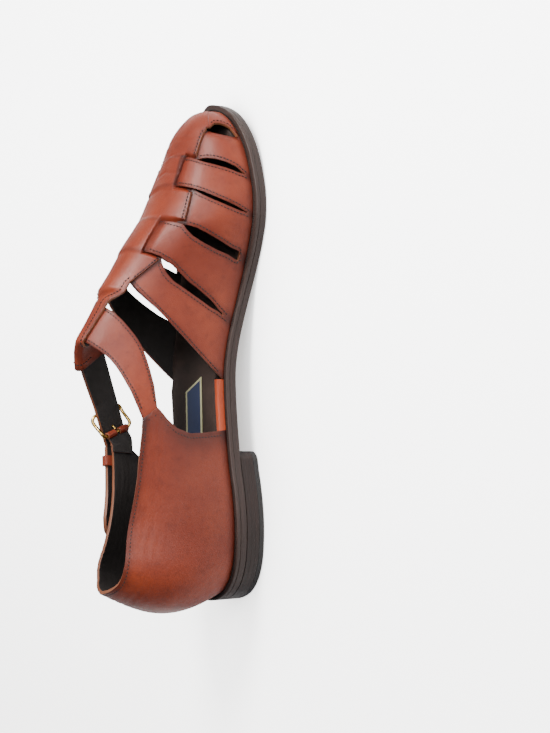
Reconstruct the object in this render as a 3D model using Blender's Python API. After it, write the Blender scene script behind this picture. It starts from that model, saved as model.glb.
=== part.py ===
"""A man's fisherman sandal, left foot: woven leather vamp with a T-strap, heel cup,
ankle strap with a buckle, insole, welt, leather outsole and stacked heel.

Metres. The toe points along +X, the outer (lateral) side is +Y and the floor is z = 0.
The sizes count from the back of the heel. The pieces are then moved so that the origin
is the centre of the heel's tread.
"""

import math
from collections import namedtuple

import bmesh
import bpy
import numpy as np

# Sole sizes
SHOE_LENGTH = 0.300
BALL_WIDTH = 0.100
WAIST_WIDTH = 0.0695
HEEL_WIDTH = 0.0735
TOE_TIP_OFFSET = -0.003
HEEL_HEIGHT = 0.0113
HEEL_LENGTH = 0.0895
HEEL_LIFTS = 3
BREAST_CORNER = 0.0055
TOP_LIFT = 0.0033
TOE_SPRING = 0.0070
OUTSOLE = 0.0042
WELT = 0.0023
WELT_RING = 0.011
LEDGE_FRONT = 0.0042
LEDGE_BACK = 0.0027
INSOLE = 0.0036

# Upper sizes
WALL = 0.0020
RAISE = 0.0014
INSTEP_HEIGHT = 0.106
COLLAR_HEIGHT = 0.0906
COLLAR_LEAN = 0.016
CUP_LENGTH_MEDIAL = 0.1025
CUP_LENGTH_LATERAL = 0.0880
PANEL_WIDTH = 0.056
CENTRE_WIDTH = 0.030
GAP_WIDTH = 0.0052
TOE_BOX = 0.026
STRAP = 0.0022
STRAP_WIDTH = 0.023
HOLE_PITCH = 0.0075
HOLE_SIZE = 0.0028
ROLL_WIDTH = 0.0050
ROLL_HEIGHT = 0.0045

# Buckle sizes
BUCKLE_WIRE = 0.0010
BUCKLE_LENGTH = 0.0135
BUCKLE_SPARE = 0.0016
BUCKLE_AHEAD = 0.0072
PRONG_WIRE = 0.0007
SLEEVE = 0.0011
KEEPER = 0.0012
KEEPER_WIDTH = 0.0065
KEEPER_AT = 0.012

CLEARANCE = 0.0003
EDGE_ROUND = 0.0007

# One row for each station of the sole: shares of the length and of the width it follows.
SoleRow = namedtuple("SoleRow", "along medial lateral width")
SOLE_ROWS = (
    SoleRow(0.015, 0.260, 0.235, HEEL_WIDTH),
    SoleRow(0.042, 0.400, 0.360, HEEL_WIDTH),
    SoleRow(0.080, 0.485, 0.446, HEEL_WIDTH),
    SoleRow(0.130, 0.520, 0.482, HEEL_WIDTH),
    SoleRow(0.180, 0.520, 0.490, HEEL_WIDTH),
    SoleRow(0.230, 0.488, 0.498, HEEL_WIDTH),
    SoleRow(0.270, 0.448, 0.503, HEEL_WIDTH),
    SoleRow(0.330, 0.436, 0.562, WAIST_WIDTH),
    SoleRow(0.410, 0.406, 0.592, WAIST_WIDTH),
    SoleRow(0.500, 0.409, 0.624, WAIST_WIDTH),
    SoleRow(0.560, 0.435, 0.655, WAIST_WIDTH),
    SoleRow(0.610, 0.328, 0.484, BALL_WIDTH),
    SoleRow(0.665, 0.378, 0.510, BALL_WIDTH),
    SoleRow(0.710, 0.437, 0.518, BALL_WIDTH),
    SoleRow(0.750, 0.478, 0.510, BALL_WIDTH),
    SoleRow(0.795, 0.487, 0.484, BALL_WIDTH),
    SoleRow(0.840, 0.468, 0.443, BALL_WIDTH),
    SoleRow(0.887, 0.434, 0.375, BALL_WIDTH),
    SoleRow(0.930, 0.376, 0.286, BALL_WIDTH),
    SoleRow(0.967, 0.284, 0.176, BALL_WIDTH),
    SoleRow(0.992, 0.145, 0.060, BALL_WIDTH),
)
# Where the tread lies on the floor, as shares of the length.
WAIST_START, TREAD_START, TREAD_END = 0.437, 0.695, 0.785

# The top line of the vamp: height above the floor and sideways place of the crown,
# and how full the section is (2 is an ellipse, more is boxier).
CrownRow = namedtuple("CrownRow", "along height centre fullness")
CROWN_ROWS = (
    CrownRow(0.400, 1.120, 0.010, 1.75),
    CrownRow(0.500, 1.000, 0.010, 1.75),
    CrownRow(0.600, 0.820, 0.010, 1.80),
    CrownRow(0.650, 0.720, 0.005, 1.90),
    CrownRow(0.700, 0.630, 0.000, 2.00),
    CrownRow(0.760, 0.510, -0.010, 2.15),
    CrownRow(0.820, 0.425, -0.015, 2.30),
    CrownRow(0.880, 0.355, -0.020, 2.40),
    CrownRow(0.940, 0.310, -0.025, 2.50),
    CrownRow(1.000, 0.270, -0.030, 2.50),
)

# The lines that run across the vamp, as shares of the length: where each stands on the
# crown, at the panel's edge and at the welt, how late it bends back, and the panel's half
# width there. A gap opens on its line: its width, how much of it lies towards the toe,
# and how blunt its end at the welt is, as shares of the widest gap.
LineRow = namedtuple("LineRow", "crown edge welt bend panel width ahead blunt")
GAP_ROWS = (
    LineRow(0.936, 0.933, 0.917, 0.0, 0.86, 1.15, 0.95, 0.15),
    LineRow(0.886, 0.872, 0.832, 0.6, 0.86, 0.75, 0.50, 0.20),
    LineRow(0.827, 0.811, 0.759, 0.0, 1.07, 0.42, 0.50, 0.30),
    LineRow(0.758, 0.741, 0.675, 0.0, 1.17, 1.00, 0.50, 0.95),
    LineRow(0.696, 0.678, 0.553, 0.2, 1.00, 0.85, 0.50, 0.25),
)
THROAT = LineRow(0.640, 0.631, 0.440, 0.2, 0.60, 0.0, 0.0, 0.0)

# Heel cup: how far the wall stands in from the welt line, as shares of the lean.
CupRow = namedtuple("CupRow", "rise back side front_medial front_lateral")
CUP_ROWS = (
    CupRow(0.00, 0.00, 0.00, 0.00, 0.00),
    CupRow(0.12, -0.22, -0.12, -0.06, -0.06),
    CupRow(0.25, -0.40, -0.17, -0.13, -0.08),
    CupRow(0.40, -0.49, -0.11, -0.19, -0.07),
    CupRow(0.55, -0.43, 0.06, -0.24, -0.04),
    CupRow(0.70, -0.22, 0.31, -0.25, 0.01),
    CupRow(0.85, 0.08, 0.60, -0.24, 0.08),
    CupRow(1.00, 0.40, 0.88, -0.14, 0.15),
)
# Height of the topline, as shares of the collar height, along the heel cup.
CollarRow = namedtuple("CollarRow", "along medial lateral")
COLLAR_ROWS = (
    CollarRow(0.00, 1.000, 1.000),
    CollarRow(0.03, 0.975, 0.970),
    CollarRow(0.08, 0.944, 0.938),
    CollarRow(0.20, 0.917, 0.905),
    CollarRow(0.43, 0.883, 0.842),
    CollarRow(0.56, 0.858, 0.803),
    CollarRow(0.68, 0.837, 0.768),
    CollarRow(0.84, 0.820, 0.737),
    CollarRow(1.00, 0.802, 0.722),
)
# Front edge of the heel cup: reach beyond its foot, by share of the rise.
FrontRow = namedtuple("FrontRow", "rise medial lateral")
FRONT_ROWS = (
    FrontRow(0.00, 0.000, 0.000),
    FrontRow(0.28, -0.015, -0.015),
    FrontRow(0.46, -0.018, -0.022),
    FrontRow(0.62, 0.012, -0.010),
    FrontRow(0.73, 0.063, 0.040),
    FrontRow(0.84, 0.131, 0.105),
    FrontRow(1.00, 0.072, 0.120),
)

# Ankle strap from the inner seam over the instep to the buckle: shares of length, half
# ball width, instep height and strap width. Turn is 0 inwards, 90 up and 180 outwards.
StrapRow = namedtuple("StrapRow", "along across up turn lean width")
STRAP_ROWS = (
    StrapRow(0.378, -0.590, 0.645, 3, 3, 0.52),
    StrapRow(0.427, -0.506, 0.672, 12, 9, 0.62),
    StrapRow(0.490, -0.350, 0.722, 28, 18, 0.84),
    StrapRow(0.530, -0.200, 0.797, 50, 25, 0.98),
    StrapRow(0.549, -0.040, 0.842, 82, 30, 1.04),
    StrapRow(0.548, 0.120, 0.848, 112, 29, 1.06),
    StrapRow(0.523, 0.270, 0.820, 136, 22, 1.00),
    StrapRow(0.485, 0.415, 0.775, 151, 17, 0.88),
    StrapRow(0.446, 0.545, 0.716, 163, 13, 0.78),
    StrapRow(0.405, 0.635, 0.660, 173, 8, 0.70),
)
TAIL_END = 0.60
TAIL_RISE = 0.885
TAIL_WIDTH = 0.70
TONGUE_CENTRE = 0.0085
TONGUE_HALF = 0.0115
HOLES = 5
PRONG_HOLE = 2

TAU = 2 * math.pi


def clear_scene():
    for item in list(bpy.data.objects):
        bpy.data.objects.remove(item, do_unlink=True)


def material(name, color, roughness, metallic=0.0):
    made = bpy.data.materials.new(name)
    made.use_nodes = True
    shader = made.node_tree.nodes["Principled BSDF"]
    shader.inputs["Base Color"].default_value = (*color, 1.0)
    shader.inputs["Roughness"].default_value = roughness
    shader.inputs["Metallic"].default_value = metallic
    return made


def add_solid(name, points, faces, finish):
    """One closed mesh object; double points are merged and faces turned outwards."""
    mesh = bpy.data.meshes.new(name)
    centre = HEEL_LENGTH / 2
    mesh.from_pydata([(float(x) - centre, float(y), float(z)) for x, y, z in points], [], faces)
    shape = bmesh.new()
    shape.from_mesh(mesh)
    bmesh.ops.remove_doubles(shape, verts=shape.verts, dist=1e-6)
    bmesh.ops.dissolve_degenerate(shape, edges=shape.edges, dist=1e-7)
    bmesh.ops.recalc_face_normals(shape, faces=shape.faces)
    shape.to_mesh(mesh)
    shape.free()
    mesh.shade_smooth()
    mesh.set_sharp_from_angle(angle=math.radians(40))
    mesh.materials.append(finish)
    made = bpy.data.objects.new(name, mesh)
    bpy.context.scene.collection.objects.link(made)
    return made


def add_loft(name, rings, finish, closed=False):
    """Skin over rings of equal count, capped at both ends unless it closes on itself."""
    count = len(rings[0])
    points = [p for ring in rings for p in ring]
    faces = []
    last = len(rings) if closed else len(rings) - 1
    for i in range(last):
        a, b = i * count, (i + 1) % len(rings) * count
        for j in range(count):
            k = (j + 1) % count
            faces.append((a + j, a + k, b + k, b + j))
    if not closed:
        faces.append(tuple(range(count)))
        faces.append(tuple(range(len(points) - count, len(points))))
    return add_solid(name, points, faces, finish)


def add_wall(name, outer, inner, keep, finish):
    """A wall between two grids of points. Keep says which cells hold leather."""
    rows, columns = keep.shape
    wide = columns + 1
    under = (rows + 1) * wide
    points = [*outer.reshape(-1, 3), *inner.reshape(-1, 3)]
    faces = []
    filled = np.zeros((rows + 2, columns + 2), bool)
    filled[1:-1, 1:-1] = keep
    for r, c in zip(*np.nonzero(keep)):
        a, b = r * wide + c, r * wide + c + 1
        d, e = b + wide, a + wide
        faces += [(a, b, d, e), (e + under, d + under, b + under, a + under)]
        beside = ((-1, 0, a, b), (0, 1, b, d), (1, 0, d, e), (0, -1, e, a))
        for down, right, p, q in beside:
            if not filled[r + 1 + down, c + 1 + right]:
                faces.append((q, p, p + under, q + under))
    return add_solid(name, points, faces, finish)


def smooth(value, low, high):
    share = np.clip((value - low) / (high - low), 0.0, 1.0)
    return share * share * (3 - 2 * share)


def column(rows, name):
    return np.array([getattr(row, name) for row in rows], float)


def read(rows, key, name, at):
    """Smooth reading of a table between its rows."""
    keys, values = column(rows, key), column(rows, name)
    slopes = np.gradient(values, keys)
    at = np.clip(at, keys[0], keys[-1])
    i = np.clip(np.searchsorted(keys, at, side="right") - 1, 0, len(keys) - 2)
    span = keys[i + 1] - keys[i]
    t = (at - keys[i]) / span
    start = (2 * t**3 - 3 * t**2 + 1) * values[i] + (t**3 - 2 * t**2 + t) * span * slopes[i]
    return start + (3 * t**2 - 2 * t**3) * values[i + 1] + (t**3 - t**2) * span * slopes[i + 1]


def through(points, steps, closed=False):
    """A smooth curve through the points, with the given steps from each to the next."""
    points = np.asarray(points, float)
    count = len(points)
    found = []
    for i in range(count if closed else count - 1):
        b, c = points[i], points[(i + 1) % count]
        a = points[i - 1] if closed or i > 0 else 2 * b - c
        d = points[(i + 2) % count] if closed or i + 2 < count else 2 * c - b
        gaps = [max(math.dist(p, q), 1e-6) ** 0.5 for p, q in ((a, b), (b, c), (c, d))]
        knots = np.cumsum([0.0, *gaps])
        for t in np.linspace(knots[1], knots[2], steps, endpoint=False):
            p = a + (b - a) * (t - knots[0]) / (knots[1] - knots[0])
            q = b + (c - b) * (t - knots[1]) / (knots[2] - knots[1])
            r = c + (d - c) * (t - knots[2]) / (knots[3] - knots[2])
            p = p + (q - p) * (t - knots[0]) / (knots[2] - knots[0])
            q = q + (r - q) * (t - knots[1]) / (knots[3] - knots[1])
            found.append(p + (q - p) * (t - knots[1]) / (knots[2] - knots[1]))
    if not closed:
        found.append(points[-1])
    return np.array(found)


def sole_loop():
    """Plan outline, from the heel's back along the inner side to the toe and back."""
    inner = [(row.along * SHOE_LENGTH, -row.medial * row.width) for row in SOLE_ROWS]
    outer = [(row.along * SHOE_LENGTH, row.lateral * row.width) for row in SOLE_ROWS]
    tips = [(0.0, 0.0)], [(SHOE_LENGTH, TOE_TIP_OFFSET)]
    return through(tips[0] + inner + tips[1] + outer[::-1], 6, closed=True)


LOOP = sole_loop()


def drawn_in(distance):
    """The sole outline moved inwards by a distance that may vary around it."""
    run = np.roll(LOOP, -1, 0) - np.roll(LOOP, 1, 0)
    run /= np.linalg.norm(run, axis=1)[:, None]
    inwards = np.column_stack([-run[:, 1], run[:, 0]])
    return LOOP + inwards * np.broadcast_to(distance, len(LOOP))[:, None]


def side_of(loop, side, x):
    """The loop's y at x, on the inner side (-1) or the outer side (+1)."""
    half = len(loop) // 2
    part = loop[: half + 1] if side < 0 else np.vstack([loop[half:], loop[:1]])[::-1]
    order = np.maximum.accumulate(part[:, 0])
    return np.interp(x, order, part[:, 1])


def sole_bottom(x):
    """Height of the outsole's underside: heel seat, waist, flat tread and toe spring."""
    share = np.asarray(x) / SHOE_LENGTH
    seat = HEEL_HEIGHT * (1 - smooth(share, WAIST_START, TREAD_START))
    return seat + TOE_SPRING * np.clip((share - TREAD_END) / (1 - TREAD_END), 0, None) ** 2


def feather(x):
    """Height of the welt's upper face, where the upper stands."""
    return sole_bottom(x) + OUTSOLE + WELT + 2 * CLEARANCE


def ledge(x):
    return LEDGE_BACK + (LEDGE_FRONT - LEDGE_BACK) * smooth(x / SHOE_LENGTH, 0.56, 0.72)


FEATHER_LOOP = drawn_in(ledge(LOOP[:, 0]))
UPPER_TIP = FEATHER_LOOP[:, 0].max()
UPPER_BACK = FEATHER_LOOP[:, 0].min()


def stations(start, end, count):
    """Places along the shoe, closer together towards both ends."""
    return start + (end - start) * (1 - np.cos(np.linspace(0, math.pi, count))) / 2


def add_plate(
    name, loop, places, top, bottom, finish, round_top=0.0, round_bottom=0.0, inset=None
):
    """A plate that follows the loop between two heights given along the shoe."""
    rings = []
    for x in places:
        low, high = bottom(x), top(x)
        left, right = side_of(loop, -1, x), side_of(loop, 1, x)
        if inset:
            left, right = left + inset(x, -1), right - inset(x, 1)
        tuck = min(1.0, (right - left) / (8 * EDGE_ROUND))
        sides = (
            (left + round_bottom * tuck, low),
            (left, low + round_bottom),
            (left, high - round_top),
            (left + round_top * tuck, high),
            (right - round_top * tuck, high),
            (right, high - round_top),
            (right, low + round_bottom),
            (right - round_bottom * tuck, low),
        )
        rings.append([(x, y, z) for y, z in sides])
    return add_loft(name, rings, finish)


def add_sole(finishes):
    places = stations(LOOP[:, 0].min() + 2e-5, LOOP[:, 0].max() - 2e-5, 45)
    add_plate(
        "outsole", LOOP, places, lambda x: sole_bottom(x) + OUTSOLE, sole_bottom,
        finishes["sole"], round_bottom=EDGE_ROUND,
    )
    middle = drawn_in(ledge(LOOP[:, 0]) + WELT_RING)
    rings = []
    for (x, y), (u, v) in zip(LOOP[::2], middle[::2]):
        low, high = sole_bottom(x) + OUTSOLE + CLEARANCE, feather(x) - CLEARANCE
        drop = sole_bottom(u) - sole_bottom(x)
        centre = np.array([u - x, v - y]) / math.hypot(u - x, v - y)
        a, b = np.array([x, y]) + centre * EDGE_ROUND * 0.6, (x, y)
        rings.append([(*a, high), (u, v, high + drop), (u, v, low + drop), (*b, low),
                      (*b, high - EDGE_ROUND * 0.6)])
    add_loft("welt", rings, finishes["welt"], closed=True)


def breast_corner(x, side):
    """How far the heel's front corners are rounded inwards."""
    into = np.clip((x - HEEL_LENGTH) / BREAST_CORNER + 1, 0.0, 1.0)
    return BREAST_CORNER * (1 - math.sqrt(1 - into**2))


def add_heel(finishes):
    lift = (HEEL_HEIGHT - TOP_LIFT) / HEEL_LIFTS
    start, corner = LOOP[:, 0].min() + 2e-5, HEEL_LENGTH - BREAST_CORNER
    places = start + (corner - start) * (1 - np.cos(np.linspace(0, math.pi / 2, 14)))
    turns = np.linspace(0, math.pi / 2, 5)[1:]
    places = [*places, *(corner + BREAST_CORNER * np.sin(turns))]
    for number in range(HEEL_LIFTS):
        low = TOP_LIFT + number * lift
        add_plate(
            f"heel_lift_{number + 1}", LOOP, places,
            lambda x, low=low: low + lift - CLEARANCE, lambda x, low=low: low, finishes["heel"],
            round_top=EDGE_ROUND / 4, round_bottom=EDGE_ROUND / 4, inset=breast_corner,
        )
    add_plate(
        "heel_top_lift", LOOP, places, lambda x: TOP_LIFT - CLEARANCE, lambda x: 0.0,
        finishes["top_lift"], round_bottom=EDGE_ROUND, inset=breast_corner,
    )


def cup_length(side):
    return CUP_LENGTH_MEDIAL if side < 0 else CUP_LENGTH_LATERAL


def open_shank(x, side):
    """One along the open waist between heel cup and vamp, nought elsewhere. It fades
    outside the opening on the rolled side, and inside it on the plain side."""
    rear, front, fade = cup_length(side), THROAT.welt * SHOE_LENGTH, 0.003
    start, end = (rear - fade, front) if side < 0 else (rear + CLEARANCE, front - fade - CLEARANCE)
    return smooth(x, start, start + fade) * (1 - smooth(x, end, end + fade))


def add_insole(finishes):
    wall = WALL + 1.5 * CLEARANCE
    loop = drawn_in(ledge(LOOP[:, 0]) + wall)

    def inset(x, side):
        return open_shank(x, side) * (ROLL_WIDTH - WALL if side < 0 else -wall)

    places = stations(loop[:, 0].min() + 2e-5, loop[:, 0].max() - 2e-5, 40)
    front = THROAT.welt * SHOE_LENGTH
    breaks = [x + step for x in (cup_length(-1), cup_length(1), front)
              for step in (-0.0035, -0.0015, 0.0, 0.0015, 0.0035)]
    add_plate(
        "insole", loop, np.sort([*places, *breaks]), lambda x: feather(x) + INSOLE, feather,
        finishes["insole"], round_top=EDGE_ROUND, inset=inset,
    )


def add_shank_roll(finishes):
    """Rolled leather strip along the open waist on the inner side, beside the insole."""
    front = THROAT.welt * SHOE_LENGTH - 2 * CLEARANCE
    rings = []
    for x in np.linspace(CUP_LENGTH_MEDIAL + 2 * CLEARANCE, front, 12):
        y = side_of(FEATHER_LOOP, -1, x)
        ring = []
        for step in range(9):
            turn = math.pi * step / 8
            across = y + (ROLL_WIDTH - CLEARANCE) * (1 - math.cos(turn)) / 2
            ring.append((x, across, feather(x) + ROLL_HEIGHT * math.sin(turn) ** 0.7))
        rings.append(ring)
    add_loft("shank_roll", rings, finishes["roll"])


def crown(x):
    """Height and sideways place of the vamp's middle line, and the section's fullness."""
    share = x / SHOE_LENGTH
    height = read(CROWN_ROWS, "along", "height", share) * INSTEP_HEIGHT
    centre = read(CROWN_ROWS, "along", "centre", share) * BALL_WIDTH
    return height, centre, read(CROWN_ROWS, "along", "fullness", share)


def vamp_section(x, side):
    """Half a section across the vamp at x, from the middle down to the welt line."""
    height, centre, fullness = crown(x)
    nose = np.clip((x - UPPER_TIP + TOE_BOX) / TOE_BOX, 0.0, 1.0)
    closing = np.sqrt(1 - nose**2.6)
    foot = feather(x)
    edge = side_of(FEATHER_LOOP, side, x)
    centre += (side_of(FEATHER_LOOP, -1, UPPER_TIP) - centre) * nose**2
    turn = np.linspace(0, math.pi / 2, 61)
    y = centre + (edge - centre) * np.sin(turn) ** (2 / fullness)
    z = foot + (height - foot) * closing * np.cos(turn) ** (2 / fullness)
    return np.column_stack([np.full_like(y, x), y, z])


# Columns of the vamp's grid from its middle to the welt. The zone says what the share
# is of: the centre strip, the strip beside it, or the flank that holds the fingers. Open
# is how wide a gap is there. The rest is how far the leather is raised, by kind of row.
Column = namedtuple("Column", "zone share open toe over under dip")
COLUMNS = (
    Column("centre", 0.00, 0.10, 1.0, 1.0, 1.3, 0.9),
    Column("centre", 0.50, 0.10, 1.0, 1.0, 1.3, 0.9),
    Column("centre", 0.98, 0.10, 1.0, 1.0, 1.3, 0.8),
    Column("beside", 0.04, 0.10, 1.0, 1.0, 0.4, 0.2),
    Column("beside", 0.50, 0.10, 1.0, 1.0, 0.8, 0.0),
    Column("beside", 0.96, 0.10, 1.0, 1.0, 0.7, 0.0),
    Column("flank", 0.01, 0.12, 1.0, 0.0, 0.6, 0.0),
    Column("flank", 0.05, 0.25, 1.0, 0.0, 0.5, 0.0),
    Column("flank", 0.20, 0.80, 1.0, 0.0, 0.1, 0.0),
    Column("flank", 0.40, 1.00, 1.0, 0.0, 0.0, 0.0),
    Column("flank", 0.60, 1.00, 1.0, 0.0, 0.0, 0.0),
    Column("flank", 0.78, 0.80, 1.0, 0.0, 0.0, 0.0),
    Column("flank", 0.91, 0.00, 0.7, 0.0, 0.0, 0.0),
    Column("flank", 1.00, 0.10, 0.0, 0.0, 0.0, 0.0),
)
GAP_START, GAP_END, TONGUE_COLUMNS = 7, 12, 5
HALF = len(COLUMNS) - 1


def place_across(section, item, panel):
    """The point of a half section where a grid column stands."""
    run = np.concatenate([[0.0], np.cumsum(np.linalg.norm(np.diff(section, axis=0), axis=1))])
    half = min(PANEL_WIDTH / 2 * panel, 0.60 * run[-1])
    middle = min(CENTRE_WIDTH / 2, 0.70 * half)
    start, end = {"centre": (0.0, middle), "beside": (middle, half), "flank": (half, run[-1])}[item.zone]
    at = start + (end - start) * item.share
    return np.array([np.interp(at, run, section[:, i]) for i in range(3)]), at / half


def line_x(line, item, edge):
    """Where a line of the vamp stands along the shoe, on one column. Edge is -1 for the
    toe side of its gap, 1 for the heel side and 0 for the line itself."""
    if item.zone == "flank":
        t = item.share + line.bend * (item.share**3 - item.share)
        share = line.edge + (line.welt - line.edge) * t
    else:
        t = {"centre": 0.45 * item.share, "beside": 0.45 + 0.55 * item.share}[item.zone]
        share = line.crown + (line.edge - line.crown) * t**1.5
    wide = line.blunt if item is COLUMNS[GAP_END] else item.open
    wide *= line.width * GAP_WIDTH
    shift = {-1: wide * line.ahead, 0: 0.0, 1: -wide * (1 - line.ahead)}[edge]
    return share * SHOE_LENGTH + shift


def vamp_point(x, panel, side, item):
    """Outer point of the vamp, before its strips are raised, and the way it faces."""
    x = min(x, UPPER_TIP - 1e-5)
    step = 0.0004
    section = vamp_section(x, side)
    found, _ = place_across(section, item, panel)
    nearer, _ = place_across(vamp_section(x - step, side), item, panel)
    i = int(np.clip(np.argmin(np.linalg.norm(section - found, axis=1)), 1, len(section) - 2))
    facing = np.cross(found - nearer, section[i + 1] - section[i - 1]) * side
    facing /= np.linalg.norm(facing)
    return found, facing if facing[2] > -0.2 else -facing


def vamp_rows():
    """Rows of the vamp's grid from the toe to the throat, as functions of the column with
    the panel's half width and the kind of row, and the numbers of the rows with gaps."""
    rows, gaps = [], []
    first = GAP_ROWS[0]
    for t in (0.0, 0.06, 0.16, 0.30, 0.48, 0.68, 0.86, 1.0):
        def place(item, t=t):
            end = line_x(first, item, -1)
            return UPPER_TIP - (UPPER_TIP - end) * (t**1.5 if item.zone == "flank" else t**1.3)
        rows.append((place, first.panel, "toe"))
    for number, line in enumerate(GAP_ROWS):
        after = GAP_ROWS[number + 1] if number + 1 < len(GAP_ROWS) else THROAT
        gaps.append(len(rows) - 1)
        woven = "under" if number % 2 else "over"
        for t in (0.0, 0.1, 0.5, 0.9, 1.0):
            def place(item, t=t, line=line, after=after):
                return line_x(line, item, 1) * (1 - t) + line_x(after, item, -1) * t
            kind = woven
            if (t == 0.0 and number) or (t == 1.0 and after is not THROAT):
                kind = "dip"
            rows.append((place, line.panel + (after.panel - line.panel) * t, kind))
    return rows, gaps


def strap_station(place):
    """Centre, run, front and outward directions and width of the ankle strap."""
    rows = STRAP_ROWS
    index = np.linspace(0, 1, len(rows))
    table = np.array([
        (r.along * SHOE_LENGTH, r.across * BALL_WIDTH / 2, r.up * INSTEP_HEIGHT) for r in rows
    ])
    slopes = np.gradient(table, index, axis=0)

    def at(values):
        return np.array([np.interp(place, index, v) for v in values.T])

    i = min(int(place * (len(rows) - 1)), len(rows) - 2)
    span = index[i + 1] - index[i]
    t = (place - index[i]) / span
    centre = ((2 * t**3 - 3 * t**2 + 1) * table[i] + (t**3 - 2 * t**2 + t) * span * slopes[i]
              + (3 * t**2 - 2 * t**3) * table[i + 1] + (t**3 - t**2) * span * slopes[i + 1])
    turn, lean, width = at(np.array([(math.radians(r.turn), math.radians(r.lean), r.width) for r in rows]))
    outward = np.array([math.sin(lean), -math.cos(turn) * math.cos(lean), math.sin(turn) * math.cos(lean)])
    run = at(slopes)
    run /= np.linalg.norm(run)
    front = np.cross(run, outward)
    front /= np.linalg.norm(front)
    outward = np.cross(front, run)
    return centre, run, front, outward, width * STRAP_WIDTH


def tongue_rows():
    """Rows of the T-strap's end, which runs over the ankle strap and folds back under it."""
    lift = STRAP / 2 + 1.4 * CLEARANCE + WALL / 2
    half = STRAP_WIDTH / 2
    route = [(half + 0.004, lift), (half - 0.002, lift), (half / 3, lift), (-half / 3, lift),
             (-half + 0.001, lift)]
    fold = half + 2 * CLEARANCE
    for step in range(1, 6):
        turn = math.pi * step / 6
        route.append((-fold + 0.001 - lift * math.sin(turn), lift * math.cos(turn)))
    route += [(-half + 0.001, -lift), (-half / 3, -lift), (half / 3, -lift), (half * 0.7, -lift)]
    rows = []
    route = np.array(route)
    for i, (forward, out) in enumerate(route):
        ahead = route[min(i + 1, len(route) - 1)] - route[max(i - 1, 0)]
        ahead /= np.linalg.norm(ahead)
        normal = np.array([ahead[1], -ahead[0]])
        rows.append((forward, out, normal))
    return rows


def tongue_share(item):
    """How far out a column stands on the T-strap, as a share of its half width."""
    middle = CENTRE_WIDTH / PANEL_WIDTH / THROAT.panel
    middle = min(middle, 0.7)
    if item.zone == "centre":
        return middle * item.share
    return middle + (1 - middle) * item.share if item.zone == "beside" else 1.0


def add_vamp(finishes):
    rows, gaps = vamp_rows()
    places = [(-1, i) for i in range(HALF, 0, -1)] + [(1, i) for i in range(HALF + 1)]
    grid = []
    for place, panel, kind in rows:
        line = []
        for side, i in places:
            item = COLUMNS[i]
            found, facing = vamp_point(place(item), panel, side, item)
            line.append((found + facing * RAISE * getattr(item, kind), found - facing * WALL))
        grid.append(line)
    last_woven = len(grid) - 1
    for back in (0.010, 0.020):
        line = []
        for side, i in places:
            item = COLUMNS[min(i, TONGUE_COLUMNS)]
            x = line_x(THROAT, item, 0) - back * SHOE_LENGTH
            found, facing = vamp_point(x, THROAT.panel - 6 * back, side, item)
            line.append((found + facing * RAISE * (1 - 40 * back), found - facing * WALL))
        grid.append(line)
    strap = [strap_station(t) for t in np.linspace(0.25, 0.85, 181)]
    levels = np.array([station[0][1] for station in strap])
    for forward, out, normal in tongue_rows():
        line = []
        for side, i in places:
            share = tongue_share(COLUMNS[min(i, TONGUE_COLUMNS)])
            across = TONGUE_CENTRE + side * TONGUE_HALF * share
            centre, _, front, outward, _ = strap[int(np.argmin(abs(levels - across)))]
            middle = centre + front * forward + outward * out
            facing = front * normal[0] + outward * normal[1]
            line.append((middle - facing * WALL / 2, middle + facing * WALL / 2))
        grid.append(line)
    keep = np.ones((len(grid) - 1, 2 * HALF), bool)
    for row in gaps:
        for side in (-1, 1):
            a, b = sorted((HALF + side * GAP_START, HALF + side * GAP_END))
            keep[row, a:b] = False
    keep[last_woven:, : HALF - TONGUE_COLUMNS] = False
    keep[last_woven:, HALF + TONGUE_COLUMNS :] = False
    outer = np.array([[pair[0] for pair in line] for line in grid])
    inner = np.array([[pair[1] for pair in line] for line in grid])
    add_wall("vamp", outer, inner, keep, finishes["leather"])


def cup_point(side, share, rise, inside=0.0):
    """A point of the heel cup: share runs from its back to its front edge."""
    length = cup_length(side)
    x = UPPER_BACK + 1e-5 + (length - UPPER_BACK) * (1 - math.cos(math.pi / 2 * share))
    step = 0.0003
    here = np.array([x, side_of(FEATHER_LOOP, side, x)])
    ahead = np.array([x + step, side_of(FEATHER_LOOP, side, x + step)])
    run = (ahead - here) / np.linalg.norm(ahead - here)
    inwards = np.array([-run[1], run[0]]) * -side
    if share < 1e-6:
        inwards = np.array([1.0, 0.0])
    along = x / length
    name = "medial" if side < 0 else "lateral"
    to_side, to_front = smooth(along, 0.0, 0.45), smooth(along, 0.45, 1.0)
    back, middle, front = (read(CUP_ROWS, "rise", key, rise) for key in ("back", "side", f"front_{name}"))
    lean = COLLAR_LEAN * (back + (middle - back) * to_side + (front - middle) * to_front)
    top = COLLAR_HEIGHT * read(COLLAR_ROWS, "along", name, along)
    foot = feather(x)
    reach = length * np.interp(rise, column(FRONT_ROWS, "rise"), column(FRONT_ROWS, name))
    plan = here + inwards * (lean + inside)
    return np.array([plan[0] + reach * share**4, plan[1], foot + (top - foot) * rise])


CUP_RISES = (0.0, 0.06, 0.14, 0.24, 0.34, 0.44, 0.54, 0.63, 0.73, 0.84, 0.92, 1.0)


def add_cup(finishes):
    shares = (1.0, 0.985, 0.95, 0.9, 0.84, 0.77, 0.7, 0.62, 0.54, 0.46, 0.38, 0.3, 0.22, 0.14, 0.07)
    places = [(-1, s) for s in shares] + [(1, 0.0)] + [(1, s) for s in shares[::-1]]
    outer = [[cup_point(side, s, rise) for side, s in places] for rise in CUP_RISES]
    inner = [[cup_point(side, s, rise, WALL) for side, s in places] for rise in CUP_RISES]
    keep = np.ones((len(CUP_RISES) - 1, len(places) - 1), bool)
    add_wall("heel_cup", np.array(outer), np.array(inner), keep, finishes["leather"])


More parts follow.
